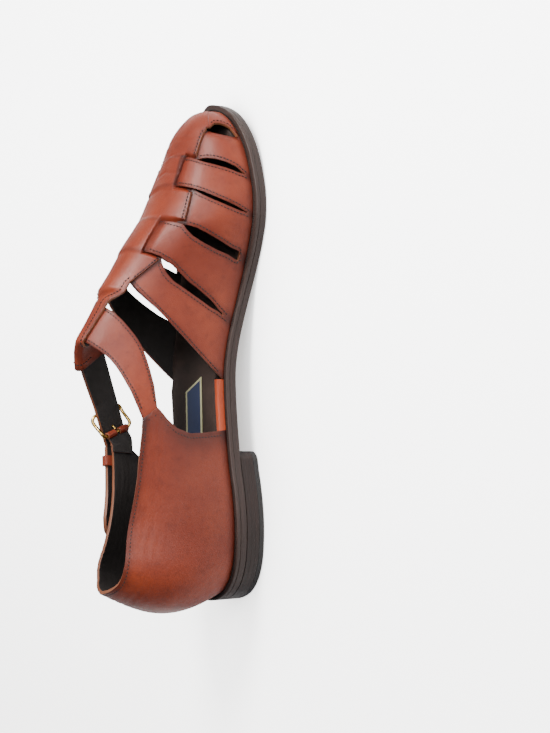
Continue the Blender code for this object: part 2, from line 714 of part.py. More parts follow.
def cup_facing(share, rise):
    here = cup_point(1, share, rise)
    along = cup_point(1, share - 0.01, rise) - here
    up = cup_point(1, share, rise + 0.01) - here
    facing = np.cross(up, along)
    facing /= np.linalg.norm(facing)
    return here, facing if facing[1] > 0 else -facing


def strap_route():
    """The strap's dense route: over the instep by the table, then the tail on the cup.
    Returns the distance run, and rows of centre, front, outward and width."""
    found = []
    for t in np.linspace(0.08, 1, 90):
        centre, _, front, outward, width = strap_station(t)
        found.append(np.concatenate([centre, front, outward, [width]]))
    stand_off = STRAP / 2 + KEEPER + 2.4 * CLEARANCE
    tail = []
    for share in np.linspace(0.99, TAIL_END, 24):
        here, facing = cup_facing(share, TAIL_RISE)
        tail.append((here + facing * stand_off, facing))
    for i, (centre, facing) in enumerate(tail):
        before = tail[i - 1][0] if i else found[-1][:3]
        after = tail[min(i + 1, len(tail) - 1)][0]
        front = np.cross(after - before, facing)
        front /= np.linalg.norm(front)
        found.append(np.concatenate([centre, front, facing, [TAIL_WIDTH * STRAP_WIDTH]]))
    found = np.array(found)
    run = np.concatenate([[0.0], np.cumsum(np.linalg.norm(np.diff(found[:, :3], axis=0), axis=1))])
    return run, found


ROUTE_RUN, ROUTE = strap_route()
CUP_EDGE_RUN = float(ROUTE_RUN[90])
BUCKLE_RUN = CUP_EDGE_RUN - BUCKLE_LENGTH / 2 - BUCKLE_AHEAD
HOLE_RUN = BUCKLE_RUN + BUCKLE_LENGTH * 0.2


def strap_frame(run):
    """Centre, backward, front and outward directions and width at a distance run."""
    row = np.array([np.interp(run, ROUTE_RUN, ROUTE[:, i]) for i in range(10)])
    centre, front, outward, width = row[:3], row[3:6], row[6:9], row[9]
    front /= np.linalg.norm(front)
    outward -= front * outward.dot(front)
    outward /= np.linalg.norm(outward)
    return centre, np.cross(outward, front), front, outward, width


def seam_section(shares):
    """The strap's sewn end, which follows the top of the cup's inner front edge."""
    low = FRONT_ROWS[-2].rise
    rises = [1.0 - (share + 1) / 2 * (1.0 - low) for share in shares]
    ahead = np.array([CLEARANCE * 1.5, 0.0, 0.0])
    outer = [cup_point(-1, 1.0, rise) + ahead for rise in rises]
    inner = [cup_point(-1, 1.0, rise, WALL) + ahead for rise in rises]
    return outer, inner


def add_strap(finishes):
    ends = (-1.0, -0.88, 0.88, 1.0)
    holes = [HOLE_RUN + (n - PRONG_HOLE) * HOLE_PITCH for n in range(HOLES)]
    edges = [hole + side * HOLE_SIZE / 2 for hole in holes for side in (-1, 1)]
    plain = [run for run in np.linspace(0, ROUTE_RUN[-1], 44)
             if min(abs(run - edge) for edge in edges) > 0.0012
             and min(abs(run - hole) for hole in holes) > HOLE_SIZE / 2]
    runs = sorted(plain + edges)
    seam_shares = (-1.0, -0.88, -0.15, 0.15, 0.88, 1.0)
    outer, inner = [[side] for side in seam_section(seam_shares)]
    for run in runs:
        centre, _, front, outward, width = strap_frame(run)
        tip = min(1.0, 0.55 + (ROUTE_RUN[-1] - run) / 0.008 * 0.45)
        slot = HOLE_SIZE / width
        shares = (ends[0] * tip, ends[1] * tip, -slot, slot, ends[2] * tip, ends[3] * tip)
        outer.append([centre + front * width / 2 * s + outward * STRAP / 2 for s in shares])
        inner.append([centre + front * width / 2 * s - outward * STRAP / 2 for s in shares])
    keep = np.ones((len(outer) - 1, 5), bool)
    for hole in holes:
        keep[1 + int(np.argmin([abs(run - (hole - HOLE_SIZE / 2)) for run in runs])), 2] = False
    add_wall("ankle_strap", np.array(outer), np.array(inner), keep, finishes["leather"])


def on_strap(run, front, out):
    """A point beside the strap: so far along it, to its front and out from its middle."""
    centre, _, forward, outward, _ = strap_frame(run)
    return centre + forward * front + outward * out


def add_tube(name, points, radius, finish, sides=8, closed=False):
    """A round wire along the points."""
    points = np.asarray(points, float)
    count = len(points)
    rings = []
    across = None
    for i, point in enumerate(points):
        ahead = points[(i + 1) % count] if closed or i + 1 < count else point
        behind = points[i - 1] if closed or i else point
        run = (ahead - behind) / np.linalg.norm(ahead - behind)
        if across is None:
            across = np.cross(run, (0.3, 0.2, 0.9))
        across = across - run * across.dot(run)
        across /= np.linalg.norm(across)
        other = np.cross(run, across)
        turns = [TAU * (n + 0.5) / sides for n in range(sides)]
        rings.append([point + radius * (across * math.cos(t) + other * math.sin(t)) for t in turns])
    return add_loft(name, rings, finish, closed)


def add_buckle(finishes):
    half = strap_frame(BUCKLE_RUN)[4] / 2 + BUCKLE_SPARE + BUCKLE_WIRE
    reach = BUCKLE_LENGTH / 2
    over = STRAP / 2 + 1.5 * CLEARANCE + BUCKLE_WIRE
    under = -(STRAP / 2 + 3 * CLEARANCE + SLEEVE + BUCKLE_WIRE)
    corner = BUCKLE_LENGTH * 0.22
    points = []
    for back, front, start in ((1, 1, 0), (-1, 1, 90), (-1, -1, 180), (1, -1, 270)):
        for step in range(4):
            turn = math.radians(start + 30 * step)
            along = back * (reach - corner) + corner * math.cos(turn)
            across = front * (half - corner) + corner * math.sin(turn)
            share = smooth(along, -reach * 0.75, reach * 0.75)
            points.append(on_strap(BUCKLE_RUN + along, across, over + (under - over) * share))
    add_tube("buckle_frame", points, BUCKLE_WIRE, finishes["brass"], closed=True)

    rise = over + BUCKLE_WIRE + 1.5 * CLEARANCE + PRONG_WIRE
    low = STRAP / 2 + 1.5 * CLEARANCE + PRONG_WIRE
    hole = HOLE_RUN - BUCKLE_RUN
    bend = HOLE_SIZE / 2
    route = (
        (reach - BUCKLE_WIRE - PRONG_WIRE - CLEARANCE, -low - CLEARANCE), (hole + bend, -low),
        (hole + bend * 0.3, -low * 0.8), (hole, 0.0), (hole - bend * 0.3, low * 0.8),
        (hole - bend, low), (-reach * 0.55, (low + rise) / 2), (-reach * 0.85, rise),
        (-reach - 2 * PRONG_WIRE, rise),
    )
    points = [on_strap(BUCKLE_RUN + run, 0.0, out) for run, out in route]
    add_tube("buckle_prong", points, PRONG_WIRE, finishes["brass"])

    gap = PRONG_WIRE + 2 * CLEARANCE
    for name, side in (("upper", -1), ("lower", 1)):
        rings = []
        for n in range(12):
            turn = TAU * n / 12
            ring = []
            for radius, at in ((0, 0), (1, 0), (1, 1), (0, 1)):
                size = BUCKLE_WIRE + CLEARANCE + SLEEVE * radius
                front = side * (gap + (half - corner - gap) * at)
                run = BUCKLE_RUN + reach + size * math.cos(turn)
                ring.append(on_strap(run, front, under + size * math.sin(turn)))
            rings.append(ring)
        add_loft(f"buckle_sleeve_{name}", rings, finishes["leather"], closed=True)


def add_keeper(finishes):
    middle = CUP_EDGE_RUN + KEEPER_AT
    half = strap_frame(middle)[4] / 2 + 1.5 * CLEARANCE
    deep = STRAP / 2 + 1.2 * CLEARANCE
    rings = []
    for n in range(20):
        turn = TAU * n / 20
        direction = np.array([math.cos(turn), math.sin(turn)])
        square = np.sign(direction) * abs(direction) ** 0.35
        ring = []
        for grow, back in ((0, -1), (1, -1), (1, 1), (0, 1)):
            front, out = square * (half + KEEPER * grow, deep + KEEPER * grow)
            ring.append(on_strap(middle + back * KEEPER_WIDTH / 2, front, out))
        rings.append(ring)
    add_loft("strap_keeper", rings, finishes["leather"], closed=True)


def main():
    clear_scene()
    finishes = {
        "leather": material("tan_leather", (0.42, 0.11, 0.05), 0.42),
        "roll": material("rolled_leather", (0.55, 0.14, 0.04), 0.30),
        "sole": material("sole_edge_leather", (0.10, 0.06, 0.05), 0.55),
        "welt": material("welt_leather", (0.13, 0.075, 0.055), 0.55),
        "heel": material("heel_leather", (0.075, 0.04, 0.03), 0.50),
        "top_lift": material("top_lift_rubber", (0.03, 0.025, 0.022), 0.70),
        "insole": material("insole_leather", (0.07, 0.035, 0.025), 0.60),
        "brass": material("buckle_brass", (0.60, 0.42, 0.17), 0.28, 1.0),
    }
    add_sole(finishes)
    add_heel(finishes)
    add_insole(finishes)
    add_shank_roll(finishes)
    add_vamp(finishes)
    add_cup(finishes)
    add_strap(finishes)
    add_buckle(finishes)
    add_keeper(finishes)


main()
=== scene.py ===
"""A fisherman sandal dressed in leather, thread and brass around its fixed model."""

import math
from collections import namedtuple

import bpy
import numpy as np
from bpy.props import FloatProperty, FloatVectorProperty, PointerProperty
from mathutils import Matrix, Vector


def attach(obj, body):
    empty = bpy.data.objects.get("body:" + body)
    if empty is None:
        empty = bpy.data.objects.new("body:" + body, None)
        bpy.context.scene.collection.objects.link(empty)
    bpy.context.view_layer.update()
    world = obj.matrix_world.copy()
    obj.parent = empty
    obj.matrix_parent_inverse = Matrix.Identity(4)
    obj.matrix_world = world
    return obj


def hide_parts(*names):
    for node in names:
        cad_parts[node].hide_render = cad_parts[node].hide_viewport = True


bl_info = {
    "name": "Fisherman sandal",
    "version": (1, 0, 0),
    "blender": (4, 5, 0),
    "location": "View3D > Sidebar > Sandal",
    "description": "Dresses a woven leather sandal: upper, straps, buckle, insole and sole",
    "category": "Add Mesh",
}

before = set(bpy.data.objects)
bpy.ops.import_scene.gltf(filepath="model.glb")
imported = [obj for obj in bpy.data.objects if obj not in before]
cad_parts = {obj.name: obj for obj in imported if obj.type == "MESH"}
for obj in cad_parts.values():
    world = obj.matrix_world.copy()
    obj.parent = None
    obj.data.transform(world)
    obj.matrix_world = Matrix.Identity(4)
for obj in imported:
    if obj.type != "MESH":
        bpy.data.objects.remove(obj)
bpy.ops.object.select_all(action="DESELECT")
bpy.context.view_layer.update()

# Sizes that the solids were made with, in metres, and shares of them
SHOE_LENGTH = 0.300
BALL_WIDTH = 0.100
WAIST_WIDTH = 0.0695
HEEL_WIDTH = 0.0735
TOE_TIP_OFFSET = -0.003
HEEL_HEIGHT = 0.0113
HEEL_LENGTH = 0.0895
BREAST_CORNER = 0.0055
HEEL_LIFTS = 3
TOP_LIFT = 0.0033
TOE_SPRING = 0.0070
OUTSOLE = 0.0042
WELT = 0.0023
LEDGE_FRONT = 0.0042
LEDGE_BACK = 0.0027
INSOLE = 0.0036
WALL = 0.0020
INSTEP_HEIGHT = 0.106
COLLAR_HEIGHT = 0.0906
COLLAR_LEAN = 0.016
CUP_LENGTH_MEDIAL = 0.1025
CUP_LENGTH_LATERAL = 0.0880
PANEL_WIDTH = 0.056
CENTRE_WIDTH = 0.030
GAP_WIDTH = 0.0052
TOE_BOX = 0.026
STRAP = 0.0022
STRAP_WIDTH = 0.023
STRAP_DOME = 0.0004
STRAP_FROM = 0.0035
HOLE_PITCH = 0.0075
HOLE_SIZE = 0.0028
ROLL_WIDTH = 0.0050
ROLL_HEIGHT = 0.0045
BUCKLE_WIRE = 0.0010
BUCKLE_LENGTH = 0.0135
BUCKLE_SPARE = 0.0016
BUCKLE_AHEAD = 0.0072
PRONG_WIRE = 0.0007
SLEEVE = 0.0011
KEEPER = 0.0012
KEEPER_WIDTH = 0.0065
KEEPER_AT = 0.012
CLEARANCE = 0.0003
TAIL_END = 0.60
TAIL_RISE = 0.885
TAIL_WIDTH = 0.70
TONGUE_CENTRE = 0.0085
TONGUE_HALF = 0.0115
HOLES = 5
PRONG_HOLE = 2
WAIST_START, TREAD_START, TREAD_END = 0.437, 0.695, 0.785
TAU = 2 * math.pi

# Rows of the panel's net in the toe piece and between two lines of the weave, steps of the
# strap's route over the instep, and sides of a brass wire
TOE_ROWS, LEVEL_ROWS = 43, 24
OVER_STEPS = 90
WIRE_SIDES = 12
# Height of cup wall over which the inset of its top stitches is measured
CUP_STITCH_RUN = 0.052
# The label place on the insole: its rear end, length, loss of length across it, inner side,
# width and border
LABEL_FROM, LABEL_LENGTH, LABEL_SKEW = 0.060, 0.0747, 0.0087
LABEL_SIDE, LABEL_WIDTH, LABEL_BORDER = -0.0045, 0.0212, 0.0016
# Name, place, aim, size, power and colour of each light
LIGHTS = (
    ("window", (0.95, -0.25, 0.95), (0.05, 0, 0.03), 0.55, 37.0, (1.0, 0.985, 0.96)),
    ("fill", (0.55, -1.20, 0.85), (0.02, 0, 0.03), 0.8, 19.0, (0.95, 0.97, 1.0)),
    ("back", (0.3, 1.1, 1.3), (0.05, 0, 0.04), 1.1, 2.5, (1.0, 1.0, 1.0)),
)
# The camera as fitted to the photograph: its right, down and ahead, its place, and its focal
# length and picture width in pixels
CAMERA_AXES = (-0.0192, -0.4973, -0.8674), (-0.9991, 0.0419, -0.0019), (0.0372, 0.8666, -0.4977)
CAMERA_SPOT = (0.10761 - HEEL_LENGTH / 2, -0.77946, 0.41633)
FOCAL_LENGTH, PICTURE_WIDTH = 1444.6, 550

SoleRow = namedtuple("SoleRow", "along medial lateral width")
SOLE_ROWS = (
    SoleRow(0.015, 0.260, 0.235, HEEL_WIDTH),
    SoleRow(0.042, 0.400, 0.360, HEEL_WIDTH),
    SoleRow(0.080, 0.485, 0.446, HEEL_WIDTH),
    SoleRow(0.130, 0.520, 0.482, HEEL_WIDTH),
    SoleRow(0.180, 0.520, 0.490, HEEL_WIDTH),
    SoleRow(0.230, 0.488, 0.498, HEEL_WIDTH),
    SoleRow(0.270, 0.448, 0.503, HEEL_WIDTH),
    SoleRow(0.330, 0.436, 0.562, WAIST_WIDTH),
    SoleRow(0.410, 0.406, 0.592, WAIST_WIDTH),
    SoleRow(0.500, 0.409, 0.624, WAIST_WIDTH),
    SoleRow(0.560, 0.435, 0.655, WAIST_WIDTH),
    SoleRow(0.610, 0.328, 0.484, BALL_WIDTH),
    SoleRow(0.665, 0.378, 0.510, BALL_WIDTH),
    SoleRow(0.710, 0.437, 0.518, BALL_WIDTH),
    SoleRow(0.750, 0.478, 0.510, BALL_WIDTH),
    SoleRow(0.795, 0.487, 0.484, BALL_WIDTH),
    SoleRow(0.840, 0.468, 0.443, BALL_WIDTH),
    SoleRow(0.887, 0.434, 0.375, BALL_WIDTH),
    SoleRow(0.930, 0.376, 0.286, BALL_WIDTH),
    SoleRow(0.967, 0.284, 0.176, BALL_WIDTH),
    SoleRow(0.992, 0.145, 0.060, BALL_WIDTH),
)

CrownRow = namedtuple("CrownRow", "along height centre fullness")
CROWN_ROWS = (
    CrownRow(0.400, 1.120, 0.010, 1.75),
    CrownRow(0.500, 1.000, 0.010, 1.75),
    CrownRow(0.600, 0.820, 0.010, 1.80),
    CrownRow(0.650, 0.720, 0.005, 1.90),
    CrownRow(0.700, 0.630, 0.000, 2.00),
    CrownRow(0.760, 0.510, -0.010, 2.15),
    CrownRow(0.820, 0.425, -0.015, 2.30),
    CrownRow(0.880, 0.355, -0.020, 2.40),
    CrownRow(0.940, 0.310, -0.025, 2.50),
    CrownRow(1.000, 0.270, -0.030, 2.50),
)

LineRow = namedtuple("LineRow", "crown edge welt bend panel width ahead blunt")
GAP_ROWS = (
    LineRow(0.936, 0.933, 0.917, 0.0, 0.86, 1.15, 0.95, 0.15),
    LineRow(0.886, 0.872, 0.832, 0.6, 0.86, 0.75, 0.50, 0.20),
    LineRow(0.827, 0.811, 0.759, 0.0, 1.07, 0.42, 0.50, 0.30),
    LineRow(0.758, 0.741, 0.675, 0.0, 1.17, 1.00, 0.50, 0.95),
    LineRow(0.696, 0.678, 0.553, 0.2, 1.00, 0.85, 0.50, 0.25),
)
THROAT = LineRow(0.640, 0.631, 0.440, 0.2, 0.60, 0.0, 0.0, 0.0)

CupRow = namedtuple("CupRow", "rise back side front_medial front_lateral")
CUP_ROWS = (
    CupRow(0.00, 0.00, 0.00, 0.00, 0.00),
    CupRow(0.12, -0.22, -0.12, -0.06, -0.06),
    CupRow(0.25, -0.40, -0.17, -0.13, -0.08),
    CupRow(0.40, -0.49, -0.11, -0.19, -0.07),
    CupRow(0.55, -0.43, 0.06, -0.24, -0.04),
    CupRow(0.70, -0.22, 0.31, -0.25, 0.01),
    CupRow(0.85, 0.08, 0.60, -0.24, 0.08),
    CupRow(1.00, 0.40, 0.88, -0.14, 0.15),
)
CollarRow = namedtuple("CollarRow", "along medial lateral")
COLLAR_ROWS = (
    CollarRow(0.00, 1.000, 1.000),
    CollarRow(0.03, 0.975, 0.970),
    CollarRow(0.08, 0.944, 0.938),
    CollarRow(0.20, 0.917, 0.905),
    CollarRow(0.43, 0.883, 0.842),
    CollarRow(0.56, 0.858, 0.803),
    CollarRow(0.68, 0.837, 0.768),
    CollarRow(0.84, 0.820, 0.737),
    CollarRow(1.00, 0.802, 0.722),
)
FrontRow = namedtuple("FrontRow", "rise medial lateral")
FRONT_ROWS = (
    FrontRow(0.00, 0.000, 0.000),
    FrontRow(0.28, -0.015, -0.015),
    FrontRow(0.46, -0.018, -0.022),
    FrontRow(0.62, 0.012, -0.010),
    FrontRow(0.73, 0.063, 0.040),
    FrontRow(0.84, 0.131, 0.105),
    FrontRow(1.00, 0.072, 0.120),
)
StrapRow = namedtuple("StrapRow", "along across up turn lean width")
STRAP_ROWS = (
    StrapRow(0.378, -0.590, 0.645, 3, 3, 0.52),
    StrapRow(0.427, -0.506, 0.672, 12, 9, 0.62),
    StrapRow(0.490, -0.350, 0.722, 28, 18, 0.84),
    StrapRow(0.530, -0.200, 0.797, 50, 25, 0.98),
    StrapRow(0.549, -0.040, 0.842, 82, 30, 1.04),
    StrapRow(0.548, 0.120, 0.848, 112, 29, 1.06),
    StrapRow(0.523, 0.270, 0.820, 136, 22, 1.00),
    StrapRow(0.485, 0.415, 0.775, 151, 17, 0.88),
    StrapRow(0.446, 0.545, 0.716, 163, 13, 0.78),
    StrapRow(0.405, 0.635, 0.660, 173, 8, 0.70),
)


# Form: the curves and surfaces that every piece lies on
def smooth(value, low, high):
    """A soft step from nought at low to one at high."""
    share = np.clip((np.asarray(value, float) - low) / (high - low), 0.0, 1.0)
    return share * share * (3 - 2 * share)


def column(rows, name):
    """One column of a table."""
    return np.array([getattr(row, name) for row in rows], float)


def eased(keys, values, slopes, at):
    """Smooth reading of values between their keys, with the slope given at each key."""
    i = np.clip(np.searchsorted(keys, at, side="right") - 1, 0, len(keys) - 2)
    span = keys[i + 1] - keys[i]
    t = (at - keys[i]) / span
    start = (2 * t**3 - 3 * t**2 + 1) * values[i] + (t**3 - 2 * t**2 + t) * span * slopes[i]
    return start + (3 * t**2 - 2 * t**3) * values[i + 1] + (t**3 - t**2) * span * slopes[i + 1]


def read(rows, key, name, at):
    """Smooth reading of a table between its rows."""
    keys, values = column(rows, key), column(rows, name)
    return eased(keys, values, np.gradient(values, keys), np.clip(at, keys[0], keys[-1]))


def through(points, steps, closed=False):
    """A smooth curve through the points, with the given steps from each to the next."""
    points = np.asarray(points, float)
    count = len(points)
    found = []
    for i in range(count if closed else count - 1):
        b, c = points[i], points[(i + 1) % count]
        a = points[i - 1] if closed or i > 0 else 2 * b - c
        d = points[(i + 2) % count] if closed or i + 2 < count else 2 * c - b
        gaps = [max(math.dist(p, q), 1e-6) ** 0.5 for p, q in ((a, b), (b, c), (c, d))]
        knots = np.cumsum([0.0, *gaps])
        for t in np.linspace(knots[1], knots[2], steps, endpoint=False):
            p = a + (b - a) * (t - knots[0]) / (knots[1] - knots[0])
            q = b + (c - b) * (t - knots[1]) / (knots[2] - knots[1])
            r = c + (d - c) * (t - knots[2]) / (knots[3] - knots[2])
            p = p + (q - p) * (t - knots[0]) / (knots[2] - knots[0])
            q = q + (r - q) * (t - knots[1]) / (knots[3] - knots[1])
            found.append(p + (q - p) * (t - knots[1]) / (knots[2] - knots[1]))
    if not closed:
        found.append(points[-1])
    return np.array(found)


def path_run(points):
    """Distance along a path at each of its points."""
    steps = np.linalg.norm(np.diff(points, axis=0), axis=1)
    return np.concatenate([[0.0], np.cumsum(steps)])


def at_run(places, run, values):
    """A path's values at distances along it, one column for each of theirs."""
    return np.column_stack([np.interp(places, run, value) for value in values.T])


def sole_loop(steps):
    """The sole's outline: inner side to the toe, then outer side back to the heel."""
    inner = [(row.along * SHOE_LENGTH, -row.medial * row.width) for row in SOLE_ROWS]
    outer = [(row.along * SHOE_LENGTH, row.lateral * row.width) for row in SOLE_ROWS]
    tips = [(0.0, 0.0)], [(SHOE_LENGTH, TOE_TIP_OFFSET)]
    return through(tips[0] + inner + tips[1] + outer[::-1], steps, closed=True)


LOOP = sole_loop(6)


def drawn_in(distance, loop=None):
    """The sole outline moved inwards by a distance that may vary around it."""
    loop = LOOP if loop is None else loop
    run = np.roll(loop, -1, 0) - np.roll(loop, 1, 0)
    run /= np.linalg.norm(run, axis=1)[:, None]
    inwards = np.column_stack([-run[:, 1], run[:, 0]])
    return loop + inwards * np.broadcast_to(distance, len(loop))[:, None]


def side_of(loop, side, x):
    """Where one side of an outline stands across the shoe at x."""
    half = len(loop) // 2
    part = loop[: half + 1] if side < 0 else np.vstack([loop[half:], loop[:1]])[::-1]
    return np.interp(x, np.maximum.accumulate(part[:, 0]), part[:, 1])


def sole_bottom(x):
    """Height of the outsole's underside."""
    share = np.asarray(x) / SHOE_LENGTH
    seat = HEEL_HEIGHT * (1 - smooth(share, WAIST_START, TREAD_START))
    return seat + TOE_SPRING * np.clip((share - TREAD_END) / (1 - TREAD_END), 0, None) ** 2


def feather(x):
    """Height of the welt's upper face, where the upper stands."""
    return sole_bottom(x) + OUTSOLE + WELT + 2 * CLEARANCE


def ledge(x):
    """How far the welt stands out beyond the upper."""
    return LEDGE_BACK + (LEDGE_FRONT - LEDGE_BACK) * smooth(x / SHOE_LENGTH, 0.56, 0.72)


FEATHER_LOOP = drawn_in(ledge(LOOP[:, 0]))
UPPER_TIP = FEATHER_LOOP[:, 0].max()
UPPER_BACK = FEATHER_LOOP[:, 0].min()


def vamp_section(x, side):
    """Half a section across the vamp at x, from the middle down to the welt line."""
    share = x / SHOE_LENGTH
    height = read(CROWN_ROWS, "along", "height", share) * INSTEP_HEIGHT
    centre = read(CROWN_ROWS, "along", "centre", share) * BALL_WIDTH
    fullness = read(CROWN_ROWS, "along", "fullness", share)
    nose = np.clip((x - UPPER_TIP + TOE_BOX) / TOE_BOX, 0.0, 1.0)
    closing = np.sqrt(1 - nose**2.6)
    foot = feather(x)
    edge = side_of(FEATHER_LOOP, side, x)
    centre += (side_of(FEATHER_LOOP, -1, UPPER_TIP) - centre) * nose**2
    turn = np.linspace(0, math.pi / 2, 91)
    y = centre + (edge - centre) * np.sin(turn) ** (2 / fullness)
    z = foot + (height - foot) * closing * np.cos(turn) ** (2 / fullness)
    return np.column_stack([np.full_like(y, x), y, z])


class VampSurface:
    """The vamp's outer surface as a dense table of sections, evened out by arc length.
    A point is (x, side, across): across is 0 on the middle line, 1 on the panel's edge
    and 2 on the welt line."""

    STEPS, ARCS = 220, 100
    LOW, TIP = 0.125, UPPER_TIP - 1e-5
    REACH = UPPER_TIP - LOW

    def __init__(self):
        self.table = np.zeros((2, self.STEPS, self.ARCS, 3))
        self.length = np.zeros((2, self.STEPS))
        shares = np.linspace(0, 1, self.ARCS)
        for s, side in enumerate((-1, 1)):
            for i, x in enumerate(self.TIP - self.REACH * np.linspace(0, 1, self.STEPS) ** 2):
                section = vamp_section(x, side)
                run = path_run(section)
                self.length[s, i] = run[-1]
                self.table[s, i] = at_run(shares * run[-1], run, section)
        lines = [*GAP_ROWS, THROAT]
        self.panel_x = np.array([line.edge for line in lines])[::-1] * SHOE_LENGTH
        self.panel_scale = np.array([line.panel for line in lines])[::-1]

    def row_at(self, x):
        """Row of the table, with its fraction, for a place along the shoe."""
        return np.sqrt(np.clip((self.TIP - x) / self.REACH, 0, 1)) * (self.STEPS - 1)

    def half(self, x, side):
        """Arc from the middle to the panel's edge, and the whole arc."""
        rows = np.arange(self.STEPS)
        medial, lateral = (np.interp(self.row_at(x), rows, length) for length in self.length)
        whole = np.where(np.asarray(side) > 0, lateral, medial)
        scale = np.interp(x, self.panel_x, self.panel_scale)
        return np.minimum(PANEL_WIDTH / 2 * scale, 0.60 * whole), whole

    def bare(self, x, side, across):
        """Points of the surface."""
        x, side, across = np.broadcast_arrays(
            np.asarray(x, float), np.asarray(side), np.asarray(across, float)
        )
        x = np.clip(x, self.LOW, self.TIP)
        half, whole = self.half(x, side)
        arc = np.where(across < 1, across * half, half + (across - 1) * (whole - half))
        share = np.clip(np.clip(arc / whole, 0, 1) * (self.ARCS - 1), 0, self.ARCS - 1.001)
        at = np.clip(self.row_at(x), 0, self.STEPS - 1.001)
        i, j = at.astype(int), share.astype(int)
        a, b = (at - i)[..., None], (share - j)[..., None]
        s = (side > 0).astype(int)
        t = self.table
        return (
            t[s, i, j] * (1 - a) * (1 - b) + t[s, i + 1, j] * a * (1 - b)
            + t[s, i, j + 1] * (1 - a) * b + t[s, i + 1, j + 1] * a * b
        )

    def facing(self, x, side, across):
        """The way that the surface faces at its points."""
        x, side, across = np.broadcast_arrays(
            np.asarray(x, float), np.asarray(side), np.asarray(across, float)
        )
        x = np.clip(x, self.LOW + 0.001, UPPER_TIP - 0.0012)
        along = self.bare(x + 0.001, side, across) - self.bare(x - 0.001, side, across)
        low, high = np.clip(across - 0.04, 0, 2), np.clip(across + 0.04, 0, 2)
        over = self.bare(x, side, high) - self.bare(x, side, low)
        middle = across < 0.04
        other = self.bare(x, -side, 0.04 - across) - self.bare(x, side, across + 0.04)
        over = np.where(middle[..., None], -other, over)
        facing = np.cross(along, over) * np.asarray(side)[..., None]
        return facing / np.linalg.norm(facing, axis=-1, keepdims=True)


VAMP = VampSurface()
OPEN_SHARES = np.array([0.00, 0.03, 0.08, 0.22, 0.40, 0.60, 0.78, 0.91])
OPEN_WIDTHS = np.array([0.10, 0.14, 0.38, 0.84, 1.00, 1.00, 0.80, 0.00])
GAP_TO = 0.91


def line_x(line, across, edge=0):
    """Where a line of the vamp stands along the shoe. Edge is -1 for the toe side of its
    gap, 1 for the heel side and 0 for the line itself."""
    across = np.abs(np.asarray(across, float))
    share = np.clip(across - 1, 0, 1)
    t = share + line.bend * (share**3 - share)
    flank = line.edge + (line.welt - line.edge) * t
    middle = min(CENTRE_WIDTH / PANEL_WIDTH / line.panel, 0.7)
    inner = np.clip(across, 0, 1)
    t = np.where(inner < middle, 0.45 * inner / middle, 0.45 + 0.55 * (inner - middle) / (1 - middle))
    panel = line.crown + (line.edge - line.crown) * t**1.5
    x = np.where(across > 1, flank, panel) * SHOE_LENGTH
    wide = np.interp(share, OPEN_SHARES, OPEN_WIDTHS)
    blunt = line.blunt * smooth(share, 0.45, 0.88) * (share <= GAP_TO + 1e-6)
    wide = np.where(share > GAP_TO + 1e-6, 0.04, np.maximum(wide, blunt)) * line.width * GAP_WIDTH
    shift = {-1: wide * line.ahead, 0: 0.0, 1: -wide * (1 - line.ahead)}[edge]
    return x + shift


def cup_length(side):
    """Where the heel cup ends along the shoe, on one side."""
    return CUP_LENGTH_MEDIAL if side < 0 else CUP_LENGTH_LATERAL


def cup_point(side, share, rise, inside=0.0):
    """A point of the heel cup: share runs from its back to its front edge."""
    length = cup_length(side)
    x = UPPER_BACK + 1e-5 + (length - UPPER_BACK) * (1 - math.cos(math.pi / 2 * share))
    step = 0.0003
    here = np.array([x, side_of(FEATHER_LOOP, side, x)])
    ahead = np.array([x + step, side_of(FEATHER_LOOP, side, x + step)])
    run = (ahead - here) / np.linalg.norm(ahead - here)
    inwards = np.array([-run[1], run[0]]) * -side
    if share < 1e-6:
        inwards = np.array([1.0, 0.0])
    along = x / length
    name = "medial" if side < 0 else "lateral"
    to_side, to_front = smooth(along, 0.0, 0.45), smooth(along, 0.45, 1.0)
    parts = (read(CUP_ROWS, "rise", key, rise) for key in ("back", "side", f"front_{name}"))
    back, middle, front = parts
    lean = COLLAR_LEAN * (back + (middle - back) * to_side + (front - middle) * to_front)
    top = COLLAR_HEIGHT * read(COLLAR_ROWS, "along", name, along)
    foot = feather(x)
    reach = length * np.interp(rise, column(FRONT_ROWS, "rise"), column(FRONT_ROWS, name))
    plan = here + inwards * (lean + inside)
    return np.array([plan[0] + reach * share**4, plan[1], foot + (top - foot) * rise])


def strap_station(place):
    """Centre, front and outward directions and width of the ankle strap."""
    index = np.linspace(0, 1, len(STRAP_ROWS))
    scale = (SHOE_LENGTH, BALL_WIDTH / 2, INSTEP_HEIGHT)
    table = np.array([(r.along, r.across, r.up) for r in STRAP_ROWS]) * scale
    slopes = np.gradient(table, index, axis=0)
    centre = eased(index, table, slopes, place)
    turns = np.array([(math.radians(r.turn), math.radians(r.lean), r.width) for r in STRAP_ROWS])
    turn, lean, width = (np.interp(place, index, v) for v in turns.T)
    outward = np.array([
        math.sin(lean), -math.cos(turn) * math.cos(lean), math.sin(turn) * math.cos(lean)
    ])
    run = np.array([np.interp(place, index, v) for v in slopes.T])
    run /= np.linalg.norm(run)
    front = np.cross(run, outward)
    front /= np.linalg.norm(front)
    return centre, front, np.cross(front, run), width * STRAP_WIDTH


def cup_facing(share, rise):
    """A point of the heel cup's outer side and the way that it faces."""
    here = cup_point(1, share, rise)
    along = cup_point(1, share - 0.01, rise) - here
    up = cup_point(1, share, rise + 0.01) - here
    facing = np.cross(up, along)
    facing /= np.linalg.norm(facing)
    return here, facing if facing[1] > 0 else -facing


